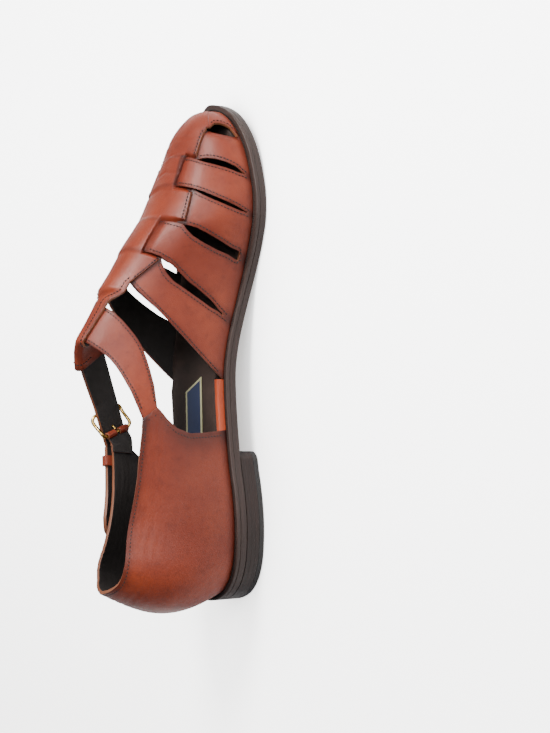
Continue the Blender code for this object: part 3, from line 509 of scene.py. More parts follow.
def strap_route():
    """The strap's dense route, over the instep and then the tail on the cup."""
    found = []
    for t in np.linspace(0.08, 1, OVER_STEPS):
        centre, front, outward, width = strap_station(t)
        found.append(np.concatenate([centre, front, outward, [width]]))
    stand_off = STRAP / 2 + KEEPER + 2.4 * CLEARANCE
    tail = [cup_facing(share, TAIL_RISE) for share in np.linspace(0.99, TAIL_END, 24)]
    tail = [(here + facing * stand_off, facing) for here, facing in tail]
    for i, (centre, facing) in enumerate(tail):
        before = tail[i - 1][0] if i else found[-1][:3]
        after = tail[min(i + 1, len(tail) - 1)][0]
        front = np.cross(after - before, facing)
        front /= np.linalg.norm(front)
        found.append(np.concatenate([centre, front, facing, [TAIL_WIDTH * STRAP_WIDTH]]))
    found = np.array(found)
    return path_run(found[:, :3]), found


ROUTE_RUN, ROUTE = strap_route()
CUP_EDGE_RUN = float(ROUTE_RUN[OVER_STEPS])
BUCKLE_RUN = CUP_EDGE_RUN - BUCKLE_LENGTH / 2 - BUCKLE_AHEAD
HOLE_RUN = BUCKLE_RUN + BUCKLE_LENGTH * 0.2


def strap_frame(run):
    """Centre, front and outward directions and width at a distance along the strap."""
    row = at_run([run], ROUTE_RUN, ROUTE)[0]
    centre, front, outward, width = row[:3], row[3:6], row[6:9], row[9]
    front /= np.linalg.norm(front)
    outward -= front * outward.dot(front)
    return centre, front, outward / np.linalg.norm(outward), width


def on_strap(run, front, out):
    """A point beside the strap: so far along it, to its front and out from its middle."""
    centre, forward, outward, _ = strap_frame(run)
    return centre + forward * front + outward * out


# Making and shaping meshes
def start_piece(name):
    """Names the object that an operator has just added."""
    piece = bpy.context.active_object
    piece.name = name
    piece.data.name = name
    return piece


def place_points(piece, points):
    """Moves the piece's points, given in sole coordinates, into the model's frame."""
    points = np.array(points, float)
    points[:, 0] -= HEEL_LENGTH / 2
    piece.data.vertices.foreach_set("co", points.astype(np.float32).ravel())
    piece.data.update()


def read_points(piece):
    """The piece's points, one row for each."""
    flat = np.zeros(len(piece.data.vertices) * 3, np.float32)
    piece.data.vertices.foreach_get("co", flat)
    return flat.reshape(-1, 3).astype(float)


def mark_points(piece, name, values):
    """Stores a value on each point, for a material to read."""
    mark = piece.data.attributes.new(name, "FLOAT", "POINT")
    mark.data.foreach_set("value", values.astype(np.float32))


def bend_grid(name, columns, rows, place, keep=None, tone=None):
    """A flat grid bent to place(u, v). Keep says which cells hold leather and tone how
    dark the leather is: burnished at its edges, with painted shade where it lies under other pieces."""
    bpy.ops.mesh.primitive_grid_add(x_subdivisions=columns, y_subdivisions=rows, size=2)
    piece = start_piece(name)
    u, v = (read_points(piece)[:, :2].T + 1) / 2
    place_points(piece, place(u, v))
    if tone is not None:
        mark_points(piece, "burnish", np.clip(tone(u, v), 0, 1))
    if keep is not None:
        drop_faces(piece, keep, u, v)
    return piece


def drop_faces(piece, keep, u, v):
    """Deletes the faces that keep leaves out, judged at their middle in the grid's shares."""
    mesh = piece.data
    corners = np.zeros(len(mesh.polygons) * 4, np.int32)
    mesh.polygons.foreach_get("vertices", corners)
    corners = corners.reshape(-1, 4)
    spare = ~keep(u[corners].mean(1), v[corners].mean(1))
    bpy.ops.object.mode_set(mode="EDIT")
    bpy.ops.mesh.select_mode(type="FACE")
    bpy.ops.mesh.select_all(action="DESELECT")
    bpy.ops.object.mode_set(mode="OBJECT")
    mesh.polygons.foreach_set("select", spare)
    bpy.ops.object.mode_set(mode="EDIT")
    bpy.ops.mesh.delete(type="FACE")
    bpy.ops.object.mode_set(mode="OBJECT")


def net_piece(name, points, keep=None, tone=None, closed=False):
    """A grid with a row and a column for each of a net's, bent to the net's points."""
    count = points.shape[1]
    rows, columns = len(points) - 1, count if closed else count - 1

    def place(u, v):
        return points[np.round(v * rows).astype(int), np.round(u * columns).astype(int) % count]

    return bend_grid(name, columns, rows, place, keep, tone)


def close_up(weld=0.0, ends=True):
    """Welds the active piece's doubled points, closes its open ends and faces it outwards."""
    bpy.ops.object.mode_set(mode="EDIT")
    bpy.ops.mesh.select_mode(type="EDGE")
    bpy.ops.mesh.select_all(action="SELECT")
    if weld:
        bpy.ops.mesh.remove_doubles(threshold=weld)
    if ends:
        bpy.ops.mesh.select_all(action="DESELECT")
        bpy.ops.mesh.select_non_manifold()
        bpy.ops.mesh.edge_face_add()
        bpy.ops.mesh.select_all(action="SELECT")
    bpy.ops.mesh.normals_make_consistent(inside=False)
    bpy.ops.object.mode_set(mode="OBJECT")


def face_outwards(piece, flip=False):
    bpy.ops.object.mode_set(mode="EDIT")
    bpy.ops.mesh.select_all(action="SELECT")
    bpy.ops.mesh.remove_doubles(threshold=1e-6)
    if flip:
        bpy.ops.mesh.flip_normals()
    bpy.ops.object.mode_set(mode="OBJECT")


def give_thickness(piece, thickness, round_edge, materials):
    """Turns a skin into leather: a wall inwards with rounded edges. The materials are
    those of the outer face, the cut edge and the inside."""
    for finish in materials:
        piece.data.materials.append(finish)
    wall = piece.modifiers.new("wall", "SOLIDIFY")
    wall.thickness = thickness
    wall.offset = -1
    wall.use_quality_normals = True
    if len(materials) > 1:
        wall.material_offset_rim = 1
        wall.material_offset = len(materials) - 1
    if round_edge:
        edge = piece.modifiers.new("edge", "BEVEL")
        edge.width = round_edge
        edge.segments = 2
        edge.limit_method = "ANGLE"
        edge.angle_limit = math.radians(50)
        edge.use_clamp_overlap = True
        edge.harden_normals = False
    bpy.context.view_layer.objects.active = piece
    for modifier in list(piece.modifiers):
        bpy.ops.object.modifier_apply(modifier=modifier.name)


def leather_skin(piece, thickness, round_edge, flip=False, outer="upper"):
    """Gives a bent skin its thickness, with a cut edge and a lining."""
    face_outwards(piece, flip)
    give_thickness(piece, thickness, round_edge, [FINISHES[name] for name in (outer, "edge", "lining")])


def leather_piece(piece, thickness, round_edge, replaces=(), flip=False, outer="upper"):
    """A finished piece of tan leather from a bent skin."""
    leather_skin(piece, thickness, round_edge, flip, outer)
    finish_piece(piece, replaces)


def finish_piece(piece, replaces=(), angle=50):
    """Smooth shading, the body that it rides on and the nodes that it stands for."""
    bpy.ops.object.select_all(action="DESELECT")
    piece.select_set(True)
    bpy.context.view_layer.objects.active = piece
    bpy.ops.object.shade_smooth_by_angle(angle=math.radians(angle))
    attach(piece, "root")
    if replaces:
        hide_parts(*replaces)
    piece.select_set(False)


def brass_wire(name, points, radius, replaces, closed=False):
    """A round brass wire along the points, bent from a grid or, if closed, from a torus."""
    points = np.asarray(points, float)
    count = len(points)
    if closed:
        bpy.ops.mesh.primitive_torus_add(
            major_segments=count, minor_segments=WIRE_SIDES, major_radius=1, minor_radius=0.2
        )
    else:
        bpy.ops.mesh.primitive_grid_add(x_subdivisions=WIRE_SIDES, y_subdivisions=count - 1, size=2)
    piece = start_piece(name)
    flat = read_points(piece)
    if closed:
        i = np.round(np.arctan2(flat[:, 1], flat[:, 0]) / TAU * count).astype(int) % count
        turn = np.arctan2(flat[:, 2], np.hypot(flat[:, 0], flat[:, 1]) - 1)
    else:
        i = np.round((flat[:, 1] + 1) / 2 * (count - 1)).astype(int)
        turn = (flat[:, 0] + 1) / 2 * TAU
    ahead = np.roll(points, -1, 0) if closed else np.vstack([points[1:], points[-1:]])
    behind = np.roll(points, 1, 0) if closed else np.vstack([points[:1], points[:-1]])
    run = ahead - behind
    run /= np.linalg.norm(run, axis=1)[:, None]
    across = np.zeros_like(points)
    last = np.cross(run[0], (0.3, 0.2, 0.9))
    for k in range(count):
        last = last - run[k] * last.dot(run[k])
        last /= np.linalg.norm(last)
        across[k] = last
    other = np.cross(run, across)
    offset = across[i] * np.cos(turn)[:, None] + other[i] * np.sin(turn)[:, None]
    place_points(piece, points[i] + offset * radius)
    close_up(1e-7, ends=not closed)
    piece.data.materials.append(FINISHES["brass"])
    finish_piece(piece, [replaces], 80)


def sew(name, rows, pitch=0.0, length=0.0016, radius=0.0, wide=1.0):
    """Rows of stitches as one piece. Each row is a path and the way that the leather
    faces on it. Without a pitch or a radius, those of the sizes are taken."""
    pitch, radius = pitch or sizes().stitch_pitch, radius or sizes().thread
    bpy.ops.mesh.primitive_uv_sphere_add(segments=6, ring_count=4, radius=1)
    piece = start_piece(name)
    mesh = piece.data
    ball = read_points(piece)
    ball = np.column_stack([ball[:, 2] * length / 2, ball[:, 0] * radius * wide, ball[:, 1] * radius])
    faces = [tuple(p.vertices) for p in mesh.polygons]
    points, skins = [], []
    for path, facing in rows:
        run = path_run(path)
        count = max(int((run[-1] - length) / pitch), 1)
        places = run[-1] / 2 + (np.arange(count) - (count - 1) / 2) * pitch
        stitch = [at_run(places + step, run, path) for step in (0, -length / 2, length / 2)]
        for at, a, b, up in zip(*stitch, at_run(places, run, facing)):
            along = (b - a) / np.linalg.norm(b - a)
            up = up - along * up.dot(along)
            up /= np.linalg.norm(up)
            over = np.cross(up, along)
            base = len(points) * len(ball)
            points.append(at + ball @ np.array([along, over, up]))
            skins += [tuple(base + i for i in face) for face in faces]
    mesh.clear_geometry()
    mesh.from_pydata(np.vstack(points).tolist(), [], skins)
    place_points(piece, np.vstack(points))
    mesh.materials.append(FINISHES["thread"])
    close_up(ends=False)
    finish_piece(piece)


# Finishes
def linear(red, green, blue):
    """A colour as it is seen on the screen, for a shader."""
    return tuple(c / 12.92 if c <= 0.04045 else ((c + 0.055) / 1.055) ** 2.4
                 for c in (red / 255, green / 255, blue / 255))


def opaque(colour, factor=1.0):
    """A colour with its alpha, made lighter or darker by a factor."""
    return (*(c * factor for c in colour), 1)


def new_group(name, inputs, outputs):
    """An empty node group with its sockets."""
    tree = bpy.data.node_groups.new(name, "ShaderNodeTree")
    for label, kind, value in inputs:
        socket = tree.interface.new_socket(name=label, in_out="INPUT", socket_type=kind)
        socket.default_value = value
    for label, kind in outputs:
        tree.interface.new_socket(name=label, in_out="OUTPUT", socket_type=kind)
    return tree, tree.nodes.new("NodeGroupInput"), tree.nodes.new("NodeGroupOutput")


def node(tree, kind, values=None, **settings):
    """A node with its settings and its sockets' values."""
    made = tree.nodes.new(kind)
    for key, value in settings.items():
        setattr(made, key, value)
    for key, value in (values or {}).items():
        made.inputs[key].default_value = value
    return made


def here(tree):
    """The place on the piece, for a pattern to follow."""
    return node(tree, "ShaderNodeTexCoord").outputs["Object"]


def ramp(tree, source, low, high):
    """A value spread from nought to one between two limits."""
    made = node(tree, "ShaderNodeMapRange", {"From Min": low, "From Max": high}, clamp=True)
    made.interpolation_type = "SMOOTHSTEP"
    tree.links.new(source, made.inputs["Value"])
    return made.outputs["Result"]


def mix(tree, share, a, b):
    """A blend of two colours; each may be a value or a socket."""
    made = node(tree, "ShaderNodeMix", data_type="RGBA")
    for key, value in (("Factor", share), (6, a), (7, b)):
        if isinstance(value, bpy.types.NodeSocket):
            tree.links.new(value, made.inputs[key])
        elif key == "Factor":
            made.inputs[0].default_value = value
        else:
            made.inputs[key].default_value = value
    return made.outputs[2]


def maths(tree, operation, a, b=0.0):
    """A sum of two numbers; each may be a value or a socket."""
    made = node(tree, "ShaderNodeMath", operation=operation)
    for i, value in enumerate((a, b)):
        if isinstance(value, bpy.types.NodeSocket):
            tree.links.new(value, made.inputs[i])
        else:
            made.inputs[i].default_value = value
    return made.outputs[0]


def noise(tree, coordinates, scale, detail=3.0, roughness=0.55, stretch=None):
    made = node(tree, "ShaderNodeTexNoise", {"Scale": scale, "Detail": detail, "Roughness": roughness})
    if stretch:
        mapping = node(tree, "ShaderNodeMapping", {"Scale": stretch})
        tree.links.new(coordinates, mapping.inputs["Vector"])
        coordinates = mapping.outputs["Vector"]
    tree.links.new(coordinates, made.inputs["Vector"])
    return made.outputs["Fac"]


def grain_group():
    """Leather grain: a height for the bump and a mask for tone, from fine cells."""
    tree, entry, end = new_group(
        "Leather grain",
        (("Cells per metre", "NodeSocketFloat", 1300.0), ("Crease depth", "NodeSocketFloat", 0.5)),
        (("Height", "NodeSocketFloat"), ("Tone", "NodeSocketFloat")),
    )
    place = here(tree)
    cells = node(tree, "ShaderNodeTexVoronoi", feature="DISTANCE_TO_EDGE")
    warp = node(tree, "ShaderNodeTexNoise", {"Scale": 420.0, "Detail": 2.0})
    tree.links.new(place, warp.inputs["Vector"])
    offset = node(tree, "ShaderNodeVectorMath", operation="MULTIPLY_ADD")
    tree.links.new(warp.outputs["Color"], offset.inputs[0])
    offset.inputs[1].default_value = (0.0011, 0.0011, 0.0011)
    tree.links.new(place, offset.inputs[2])
    tree.links.new(offset.outputs["Vector"], cells.inputs["Vector"])
    tree.links.new(entry.outputs["Cells per metre"], cells.inputs["Scale"])
    pebble = ramp(tree, cells.outputs["Distance"], 0.0, 0.22)
    pores = noise(tree, place, 2600.0, 2.0)
    folds = noise(tree, place, 240.0, 4.0, 0.62, (1.0, 0.22, 0.9))
    folds = ramp(tree, folds, 0.36, 0.60)
    height = maths(tree, "MULTIPLY", pebble, 0.55)
    height = maths(tree, "ADD", height, maths(tree, "MULTIPLY", pores, 0.25))
    crease = maths(tree, "MULTIPLY", folds, entry.outputs["Crease depth"])
    tree.links.new(maths(tree, "ADD", height, crease), end.inputs["Height"])
    tree.links.new(folds, end.inputs["Tone"])
    return tree


def wear_and_shade_group():
    """Wear and painted shade: a soft patchy tone, and darker leather where the burnish mark says so: a band
    close to the cut edges (burnish) and painted shade where strips lie under others.
    """
    tree, entry, end = new_group(
        "Burnish",
        (("Colour", "NodeSocketColor", (0.5, 0.1, 0.05, 1)),
         ("Dark", "NodeSocketColor", (0.1, 0.02, 0.01, 1)),
         ("Light", "NodeSocketColor", (0.7, 0.2, 0.1, 1)), ("Amount", "NodeSocketFloat", 0.5)),
        (("Colour", "NodeSocketColor"), ("Patches", "NodeSocketFloat")),
    )
    place = here(tree)
    broad = ramp(tree, noise(tree, place, 24.0, 4.0, 0.6), 0.36, 0.66)
    fine = noise(tree, place, 160.0, 5.0, 0.68)
    shade = mix(tree, maths(tree, "MULTIPLY", broad, entry.outputs["Amount"]),
                entry.outputs["Colour"], entry.outputs["Light"])
    low = maths(tree, "MULTIPLY", ramp(tree, fine, 0.48, 0.76), 0.30)
    shade = mix(tree, low, shade, entry.outputs["Dark"])
    # The mark darkens burnished cut edges and paints shade where strips lie under others.
    burnish = node(tree, "ShaderNodeAttribute", attribute_name="burnish")
    shade = mix(tree, burnish.outputs["Fac"], shade, entry.outputs["Dark"])
    tree.links.new(shade, end.inputs["Colour"])
    tree.links.new(broad, end.inputs["Patches"])
    return tree


def streak_group():
    """Streaks of stacked, dyed leather along the shoe, thin in height."""
    tree, entry, end = new_group(
        "Edge streaks",
        (("Colour", "NodeSocketColor", (0.1, 0.05, 0.04, 1)),
         ("Light", "NodeSocketColor", (0.2, 0.1, 0.08, 1)),
         ("Lines per metre", "NodeSocketFloat", 900.0)),
        (("Colour", "NodeSocketColor"), ("Height", "NodeSocketFloat")),
    )
    place = here(tree)
    stretch = node(tree, "ShaderNodeMapping", {"Scale": (0.035, 0.035, 1.0)})
    tree.links.new(place, stretch.inputs["Vector"])
    lines = node(tree, "ShaderNodeTexNoise", {"Detail": 5.0, "Roughness": 0.7})
    tree.links.new(stretch.outputs["Vector"], lines.inputs["Vector"])
    tree.links.new(entry.outputs["Lines per metre"], lines.inputs["Scale"])
    cloud = ramp(tree, noise(tree, place, 60.0, 4.0), 0.35, 0.7)
    share = maths(tree, "MULTIPLY", ramp(tree, lines.outputs["Fac"], 0.42, 0.72), 0.8)
    share = maths(tree, "MULTIPLY", share, maths(tree, "ADD", maths(tree, "MULTIPLY", cloud, 0.6), 0.5))
    tree.links.new(mix(tree, share, entry.outputs["Colour"], entry.outputs["Light"]), end.inputs["Colour"])
    tree.links.new(lines.outputs["Fac"], end.inputs["Height"])
    return tree


def new_material(name, roughness, **sockets):
    """A material with its node tree and its shader."""
    made = bpy.data.materials.new(name)
    made.use_nodes = True
    shader = made.node_tree.nodes["Principled BSDF"]
    shader.inputs["Roughness"].default_value = roughness
    for key, value in sockets.items():
        shader.inputs[key.replace("_", " ")].default_value = value
    return made, made.node_tree, shader


def add_bump(tree, shader, height, distance, strength=1.0):
    bump = node(tree, "ShaderNodeBump", {"Distance": distance, "Strength": strength})
    tree.links.new(height, bump.inputs["Height"])
    tree.links.new(bump.outputs["Normal"], shader.inputs["Normal"])


def upper_leather(name, groups, colours, amount, crease, roughness=0.44):
    """Polished upper leather from its colour and its dark and light tones."""
    made, tree, shader = new_material(
        name, roughness, Coat_Weight=0.05, Coat_Roughness=0.28, Specular_IOR_Level=0.24
    )
    tones = dict(zip(("Colour", "Dark", "Light"), map(opaque, colours)))
    wear_and_shade = node(tree, "ShaderNodeGroup", {**tones, "Amount": amount}, node_tree=groups["wear_and_shade"])
    grain = node(tree, "ShaderNodeGroup", {"Crease depth": crease}, node_tree=groups["grain"])
    tree.links.new(wear_and_shade.outputs["Colour"], shader.inputs["Base Color"])
    rough = maths(tree, "ADD", maths(tree, "MULTIPLY", wear_and_shade.outputs["Patches"], -0.10), roughness + 0.05)
    tree.links.new(rough, shader.inputs["Roughness"])
    add_bump(tree, shader, grain.outputs["Height"], 0.00014, 0.5)
    return made


def plain_leather(name, colour, dark, roughness):
    """Linings and cut edges: matt, fibrous and patchy. Dark is a share of the colour."""
    made, tree, shader = new_material(name, roughness)
    place = here(tree)
    fibres = noise(tree, place, 900.0, 4.0, 0.7, (0.6, 1.0, 1.4))
    patches = ramp(tree, noise(tree, place, 70.0, 3.0), 0.35, 0.7)
    share = maths(tree, "ADD", maths(tree, "MULTIPLY", fibres, 0.5), maths(tree, "MULTIPLY", patches, 0.4))
    tree.links.new(mix(tree, share, opaque(colour), opaque(colour, dark)), shader.inputs["Base Color"])
    add_bump(tree, shader, fibres, 0.0002, 0.6)
    return made


def edge_leather(name, groups, colour, low, high, roughness, lines=900.0):
    """Streaked leather between two strengths of a colour."""
    made, tree, shader = new_material(name, roughness, Specular_IOR_Level=0.30)
    values = {"Colour": opaque(colour, low), "Light": opaque(colour, high), "Lines per metre": lines}
    streaks = node(tree, "ShaderNodeGroup", values, node_tree=groups["streaks"])
    tree.links.new(streaks.outputs["Colour"], shader.inputs["Base Color"])
    add_bump(tree, shader, streaks.outputs["Height"], 0.00025, 0.5)
    return made


def thread_material(name, colour):
    """Twisted thread."""
    made, tree, shader = new_material(name, 0.75)
    twist = noise(tree, here(tree), 3500.0, 2.0)
    tree.links.new(mix(tree, twist, opaque(colour, 0.45), opaque(colour)), shader.inputs["Base Color"])
    add_bump(tree, shader, twist, 0.0001, 0.6)
    return made


def brass_material(name, colour):
    """Brass with duller stains."""
    made, tree, shader = new_material(name, 0.28, Metallic=1.0)
    place = here(tree)
    stain = ramp(tree, noise(tree, place, 380.0, 4.0, 0.65), 0.42, 0.72)
    tree.links.new(mix(tree, stain, opaque(colour), opaque(colour, 0.55)), shader.inputs["Base Color"])
    rough = maths(tree, "ADD", maths(tree, "MULTIPLY", stain, 0.16), 0.22)
    tree.links.new(rough, shader.inputs["Roughness"])
    add_bump(tree, shader, noise(tree, place, 1500.0, 2.0), 0.00003, 0.5)
    return made


def label_material(name, colour, border):
    """The insole's bare label place: a woven blue field with a cream border."""
    made, tree, shader = new_material(name, 0.6)
    weave = noise(tree, here(tree), 2600.0, 1.0, 0.5, (1.0, 4.0, 1.0))
    mask = node(tree, "ShaderNodeAttribute", attribute_name="border")
    field = mix(tree, weave, opaque(colour), opaque(colour, 1.7))
    edge = mix(tree, weave, opaque(border), opaque(border, 0.75))
    share = ramp(tree, mask.outputs["Fac"], 0.45, 0.55)
    tree.links.new(mix(tree, share, field, edge), shader.inputs["Base Color"])
    add_bump(tree, shader, weave, 0.00008, 0.6)
    return made


FINISHES = {}


def make_finishes(colours):
    """Mixes every finish under the name that the pieces ask for."""
    groups = {"grain": grain_group(), "wear_and_shade": wear_and_shade_group(), "streaks": streak_group()}
    tones = (colours.burnish, colours.highlight)
    FINISHES.update(
        upper=upper_leather("Upper leather", groups, (colours.leather, *tones), 0.55, 0.16),
        cup=upper_leather("Heel cup leather", groups, (colours.leather, *tones), 0.5, 0.38),
        roll=upper_leather("Rolled leather", groups, (colours.roll, *tones), 0.2, 0.2, 0.34),
        edge=plain_leather("Cut edge", colours.cut_edge, 0.45, 0.55),
        lining=plain_leather("Lining", colours.lining, 0.5, 0.72),
        sole=edge_leather("Sole edge", groups, colours.sole, 1.0, 1.6, 0.48),
        welt=edge_leather("Welt", groups, colours.sole, 1.15, 1.9, 0.50, 700.0),
        heel=edge_leather("Stacked heel", groups, colours.heel, 1.0, 2.1, 0.42, 1300.0),
        rubber=plain_leather("Top lift rubber", colours.rubber, 0.6, 0.7),
        insole=edge_leather("Insole leather", groups, colours.insole, 1.0, 1.9, 0.78),
        thread=thread_material("Thread", colours.thread),
        brass=brass_material("Brass", colours.brass),
        label=label_material("Label place", colours.label, colours.label_border),
    )


# Sizes and colours that a user would change
def length_property(name, description, default):
    return FloatProperty(name=name, description=description, default=default, min=0.0, unit="LENGTH",
                         subtype="DISTANCE", precision=5)


def colour_property(name, description, red, green, blue):
    return FloatVectorProperty(name=name, description=description, default=linear(red, green, blue),
                               size=3, min=0.0, max=1.0, subtype="COLOR")


class SandalSizes(bpy.types.PropertyGroup):
    """Thicknesses and stitching of the leather pieces."""

    leather: length_property("Leather", "Thickness of the vamp's leather", 0.0016)
    raise_by: length_property("Weave height", "How far the upper strips of the weave stand up", 0.0017)
    cushion: length_property("Roundness", "How far a strip swells between its edges", 0.00045)
    crease: length_property("Crease depth", "Depth of the creases over the toe joint", 0.00045)
    stitch_pitch: length_property("Stitch pitch", "From one stitch to the next", 0.0021)
    stitch_inset: length_property("Stitch inset", "From a cut edge to its stitches", 0.0017)
    thread: length_property("Thread", "Radius of the thread", 0.00036)


class SandalColours(bpy.types.PropertyGroup):
    """Colours of the leathers, thread, brass and label."""

    leather: colour_property("Leather", "Tan of the upper", 104, 38, 21)
    # This colour also paints the shade where strips lie under others.
    burnish: colour_property("Burnish", "Darker, polished parts of the upper", 44, 11, 6)
    highlight: colour_property("Worn tone", "Lighter patches of the upper", 130, 54, 29)
    roll: colour_property("Rolled strip", "Strip along the open waist", 146, 56, 26)
    cut_edge: colour_property("Cut edge", "Raw edges of the leather", 118, 66, 38)
    lining: colour_property("Lining", "Inside of the upper", 30, 23, 20)
    sole: colour_property("Sole edge", "Dyed edge of the sole", 42, 30, 26)
    heel: colour_property("Heel", "Stacked leather of the heel", 26, 14, 10)
    rubber: colour_property("Top lift", "Rubber under the heel", 26, 22, 21)
    insole: colour_property("Insole", "Leather that the foot stands on", 40, 28, 23)
    thread: colour_property("Thread", "Stitches", 26, 11, 8)
    brass: colour_property("Brass", "Buckle", 205, 166, 92)
    label: colour_property("Label", "Field of the label place", 20, 29, 56)
    label_border: colour_property("Label border", "Border of the label place", 172, 168, 128)


def sizes():
    return bpy.context.scene.sandal_sizes


# The upper
def b_half(x, side):
    """Half width of the middle strip, as a share of the panel's half width."""
    half, _ = VAMP.half(x, side)
    return np.minimum(CENTRE_WIDTH / 2, 0.70 * half) / half


def level_of(x, across):
    """Where a point lies between the lines of the weave: nought on the first line, one
    on the second, and so on down to the throat."""
    lines = [*GAP_ROWS, THROAT]
    places = np.array([line_x(line, across) for line in lines])
    found = np.zeros_like(x)
    for i in range(len(lines) - 1):
        share = (places[i] - x) / (places[i] - places[i + 1])
        found = np.where((share > 0) & (share <= 1), i + share, found)
    found = np.where(x > places[0], (places[0] - x) / 0.02, found)
    return np.where(x <= places[-1], len(lines) - 1 + (places[-1] - x) / 0.02, found)


def flex_crease(x, across):
    """Shallow creases over the toe joint, deepest near the middle of the shoe."""
    wave = np.sin(x * 900.0 + 2.2 * np.sin(across * 3.1)) * np.sin(x * 310.0 + across * 2.0)
    place = smooth(x, 0.232, 0.250) * (1 - smooth(x, 0.268, 0.282))
    return -sizes().crease * place * np.clip(wave, 0, 1) ** 1.5 * (1 - smooth(across, 0.5, 1.6))


def panel_height(x, side, across):
    """How far the middle panel stands off the vamp's surface."""
    s = sizes()
    level = level_of(x, across)
    under = smooth(level, 0.86, 1.02) * (1 - smooth(level, 1.98, 2.14))
    under += smooth(level, 2.88, 3.02) * (1 - smooth(level, 3.98, 4.12))
    inner = b_half(x, side)
    beside = smooth(across, inner - 0.004, inner + 0.012)
    lift = s.raise_by * 0.55
    low = -0.0012
    high = s.raise_by * (1 + 0.2 * under) + s.cushion * under * (1 - (across / np.maximum(inner, 0.1)) ** 4)
    panel = high * (1 - beside * under) + low * beside * under
    return np.where(across <= 1, panel, lift) + flex_crease(x, across)


def panel_place(side_share, depth):
    """Point of the toe piece and panel: side share is -2 to 2, depth picks a row."""
    across, side = np.abs(side_share), np.where(side_share < 0, -1, 1)
    x = panel_rows(across, depth)
    nose = smooth(x, UPPER_TIP - 0.004, UPPER_TIP)
    welt = smooth(across, 1.90, 2.0)
    height = panel_height(x, side, across) * (1 - 0.8 * welt) * (1 - nose)
    return VAMP.bare(x, side, across) + VAMP.facing(x, side, across) * height[..., None]


def panel_rows(across, depth):
    """Along the shoe for a depth: 0 to 1 is the toe, then one for each line."""
    toe_end = line_x(GAP_ROWS[0], across, -1)
    x = UPPER_TIP - (UPPER_TIP - toe_end) * np.clip(depth, 0, 1) ** 1.4
    lines = [line_x(line, np.minimum(across, 1)) for line in (*GAP_ROWS, THROAT)]
    lines[0] = line_x(GAP_ROWS[0], np.minimum(across, 1), -1)
    lines.append(lines[-1] - 0.006)
    for i in range(len(lines) - 1):
        share = depth - 1 - i
        x = np.where((share > 0) & (share <= 1.0001), lines[i] + (lines[i + 1] - lines[i]) * share, x)
    return x


def tongue_route():
    """The T-strap's way over the ankle strap, round its rear edge and back under it:
    forward of the strap's middle, and out from it."""
    thick = sizes().leather
    lift = STRAP / 2 + 1.4 * CLEARANCE + WALL / 2 + thick / 2
    low = -(STRAP / 2 + 1.4 * CLEARANCE + WALL / 2) - thick / 2
    half = STRAP_WIDTH / 2
    over = (half + 0.004, half - 0.002, half / 3, -half / 3, -half + 0.001)
    route = [(forward, lift) for forward in over]
    fold, middle = half + 2 * CLEARANCE, (lift + low) / 2
    for step in range(1, 6):
        turn = math.pi * step / 6
        route.append((-fold + 0.001 - lift * math.sin(turn), middle + (lift - middle) * math.cos(turn)))
    return route + [(forward, low) for forward in (-half + 0.001, -half / 3, half / 3, half * 0.7)]


def tongue_net(columns):
    """Rows of the T-strap's grain side beyond the throat, for the panel's columns."""
    strap = [strap_station(t) for t in np.linspace(0.25, 0.92, 241)]
    levels = np.array([station[0][1] for station in strap])
    rows = []
    for forward, out in tongue_route():
        line = []
        for share in columns:
            across = TONGUE_CENTRE + TONGUE_HALF * share
            centre, front, outward, _ = strap[int(np.argmin(abs(levels - across)))]
            line.append(centre + front * forward + outward * out)
        rows.append(line)
    return np.array(rows)


def panel_net():
    """The toe piece, panel and T-strap as one net, the share across the vamp of its
    columns, and the first and last column of the panel."""
    half = np.concatenate([
        np.linspace(0, 0.44, 12), np.linspace(0.455, 0.70, 29), np.linspace(0.72, 1, 12),
        np.linspace(1, 2, 34)[1:],
    ])
    shares = np.concatenate([-half[::-1], half[1:]])
    levels = [1 + i + np.linspace(0, 1, LEVEL_ROWS + 1)[1:] for i in range(len(GAP_ROWS))]
    depths = np.concatenate([np.linspace(0, 1, TOE_ROWS + 1), *levels, 6 + np.linspace(0, 1, 8)[1:]])
    grid = panel_place(*np.meshgrid(shares, depths))
    on_panel = np.abs(shares) <= 1
    net = np.stack([grid[-8, on_panel], grid[-1, on_panel], *tongue_net(shares[on_panel])])
    strap = np.array([through(net[:, i], 5) for i in range(net.shape[1])]).transpose(1, 0, 2)[6:]
    first, last = np.nonzero(on_panel)[0][[0, -1]]
    tail = np.zeros((len(strap), len(shares), 3))
    tail[:, on_panel] = strap
    tail[:, :first] = strap[:, :1]
    tail[:, last + 1 :] = strap[:, -1:]
    return np.vstack([grid, tail]), shares, first, last


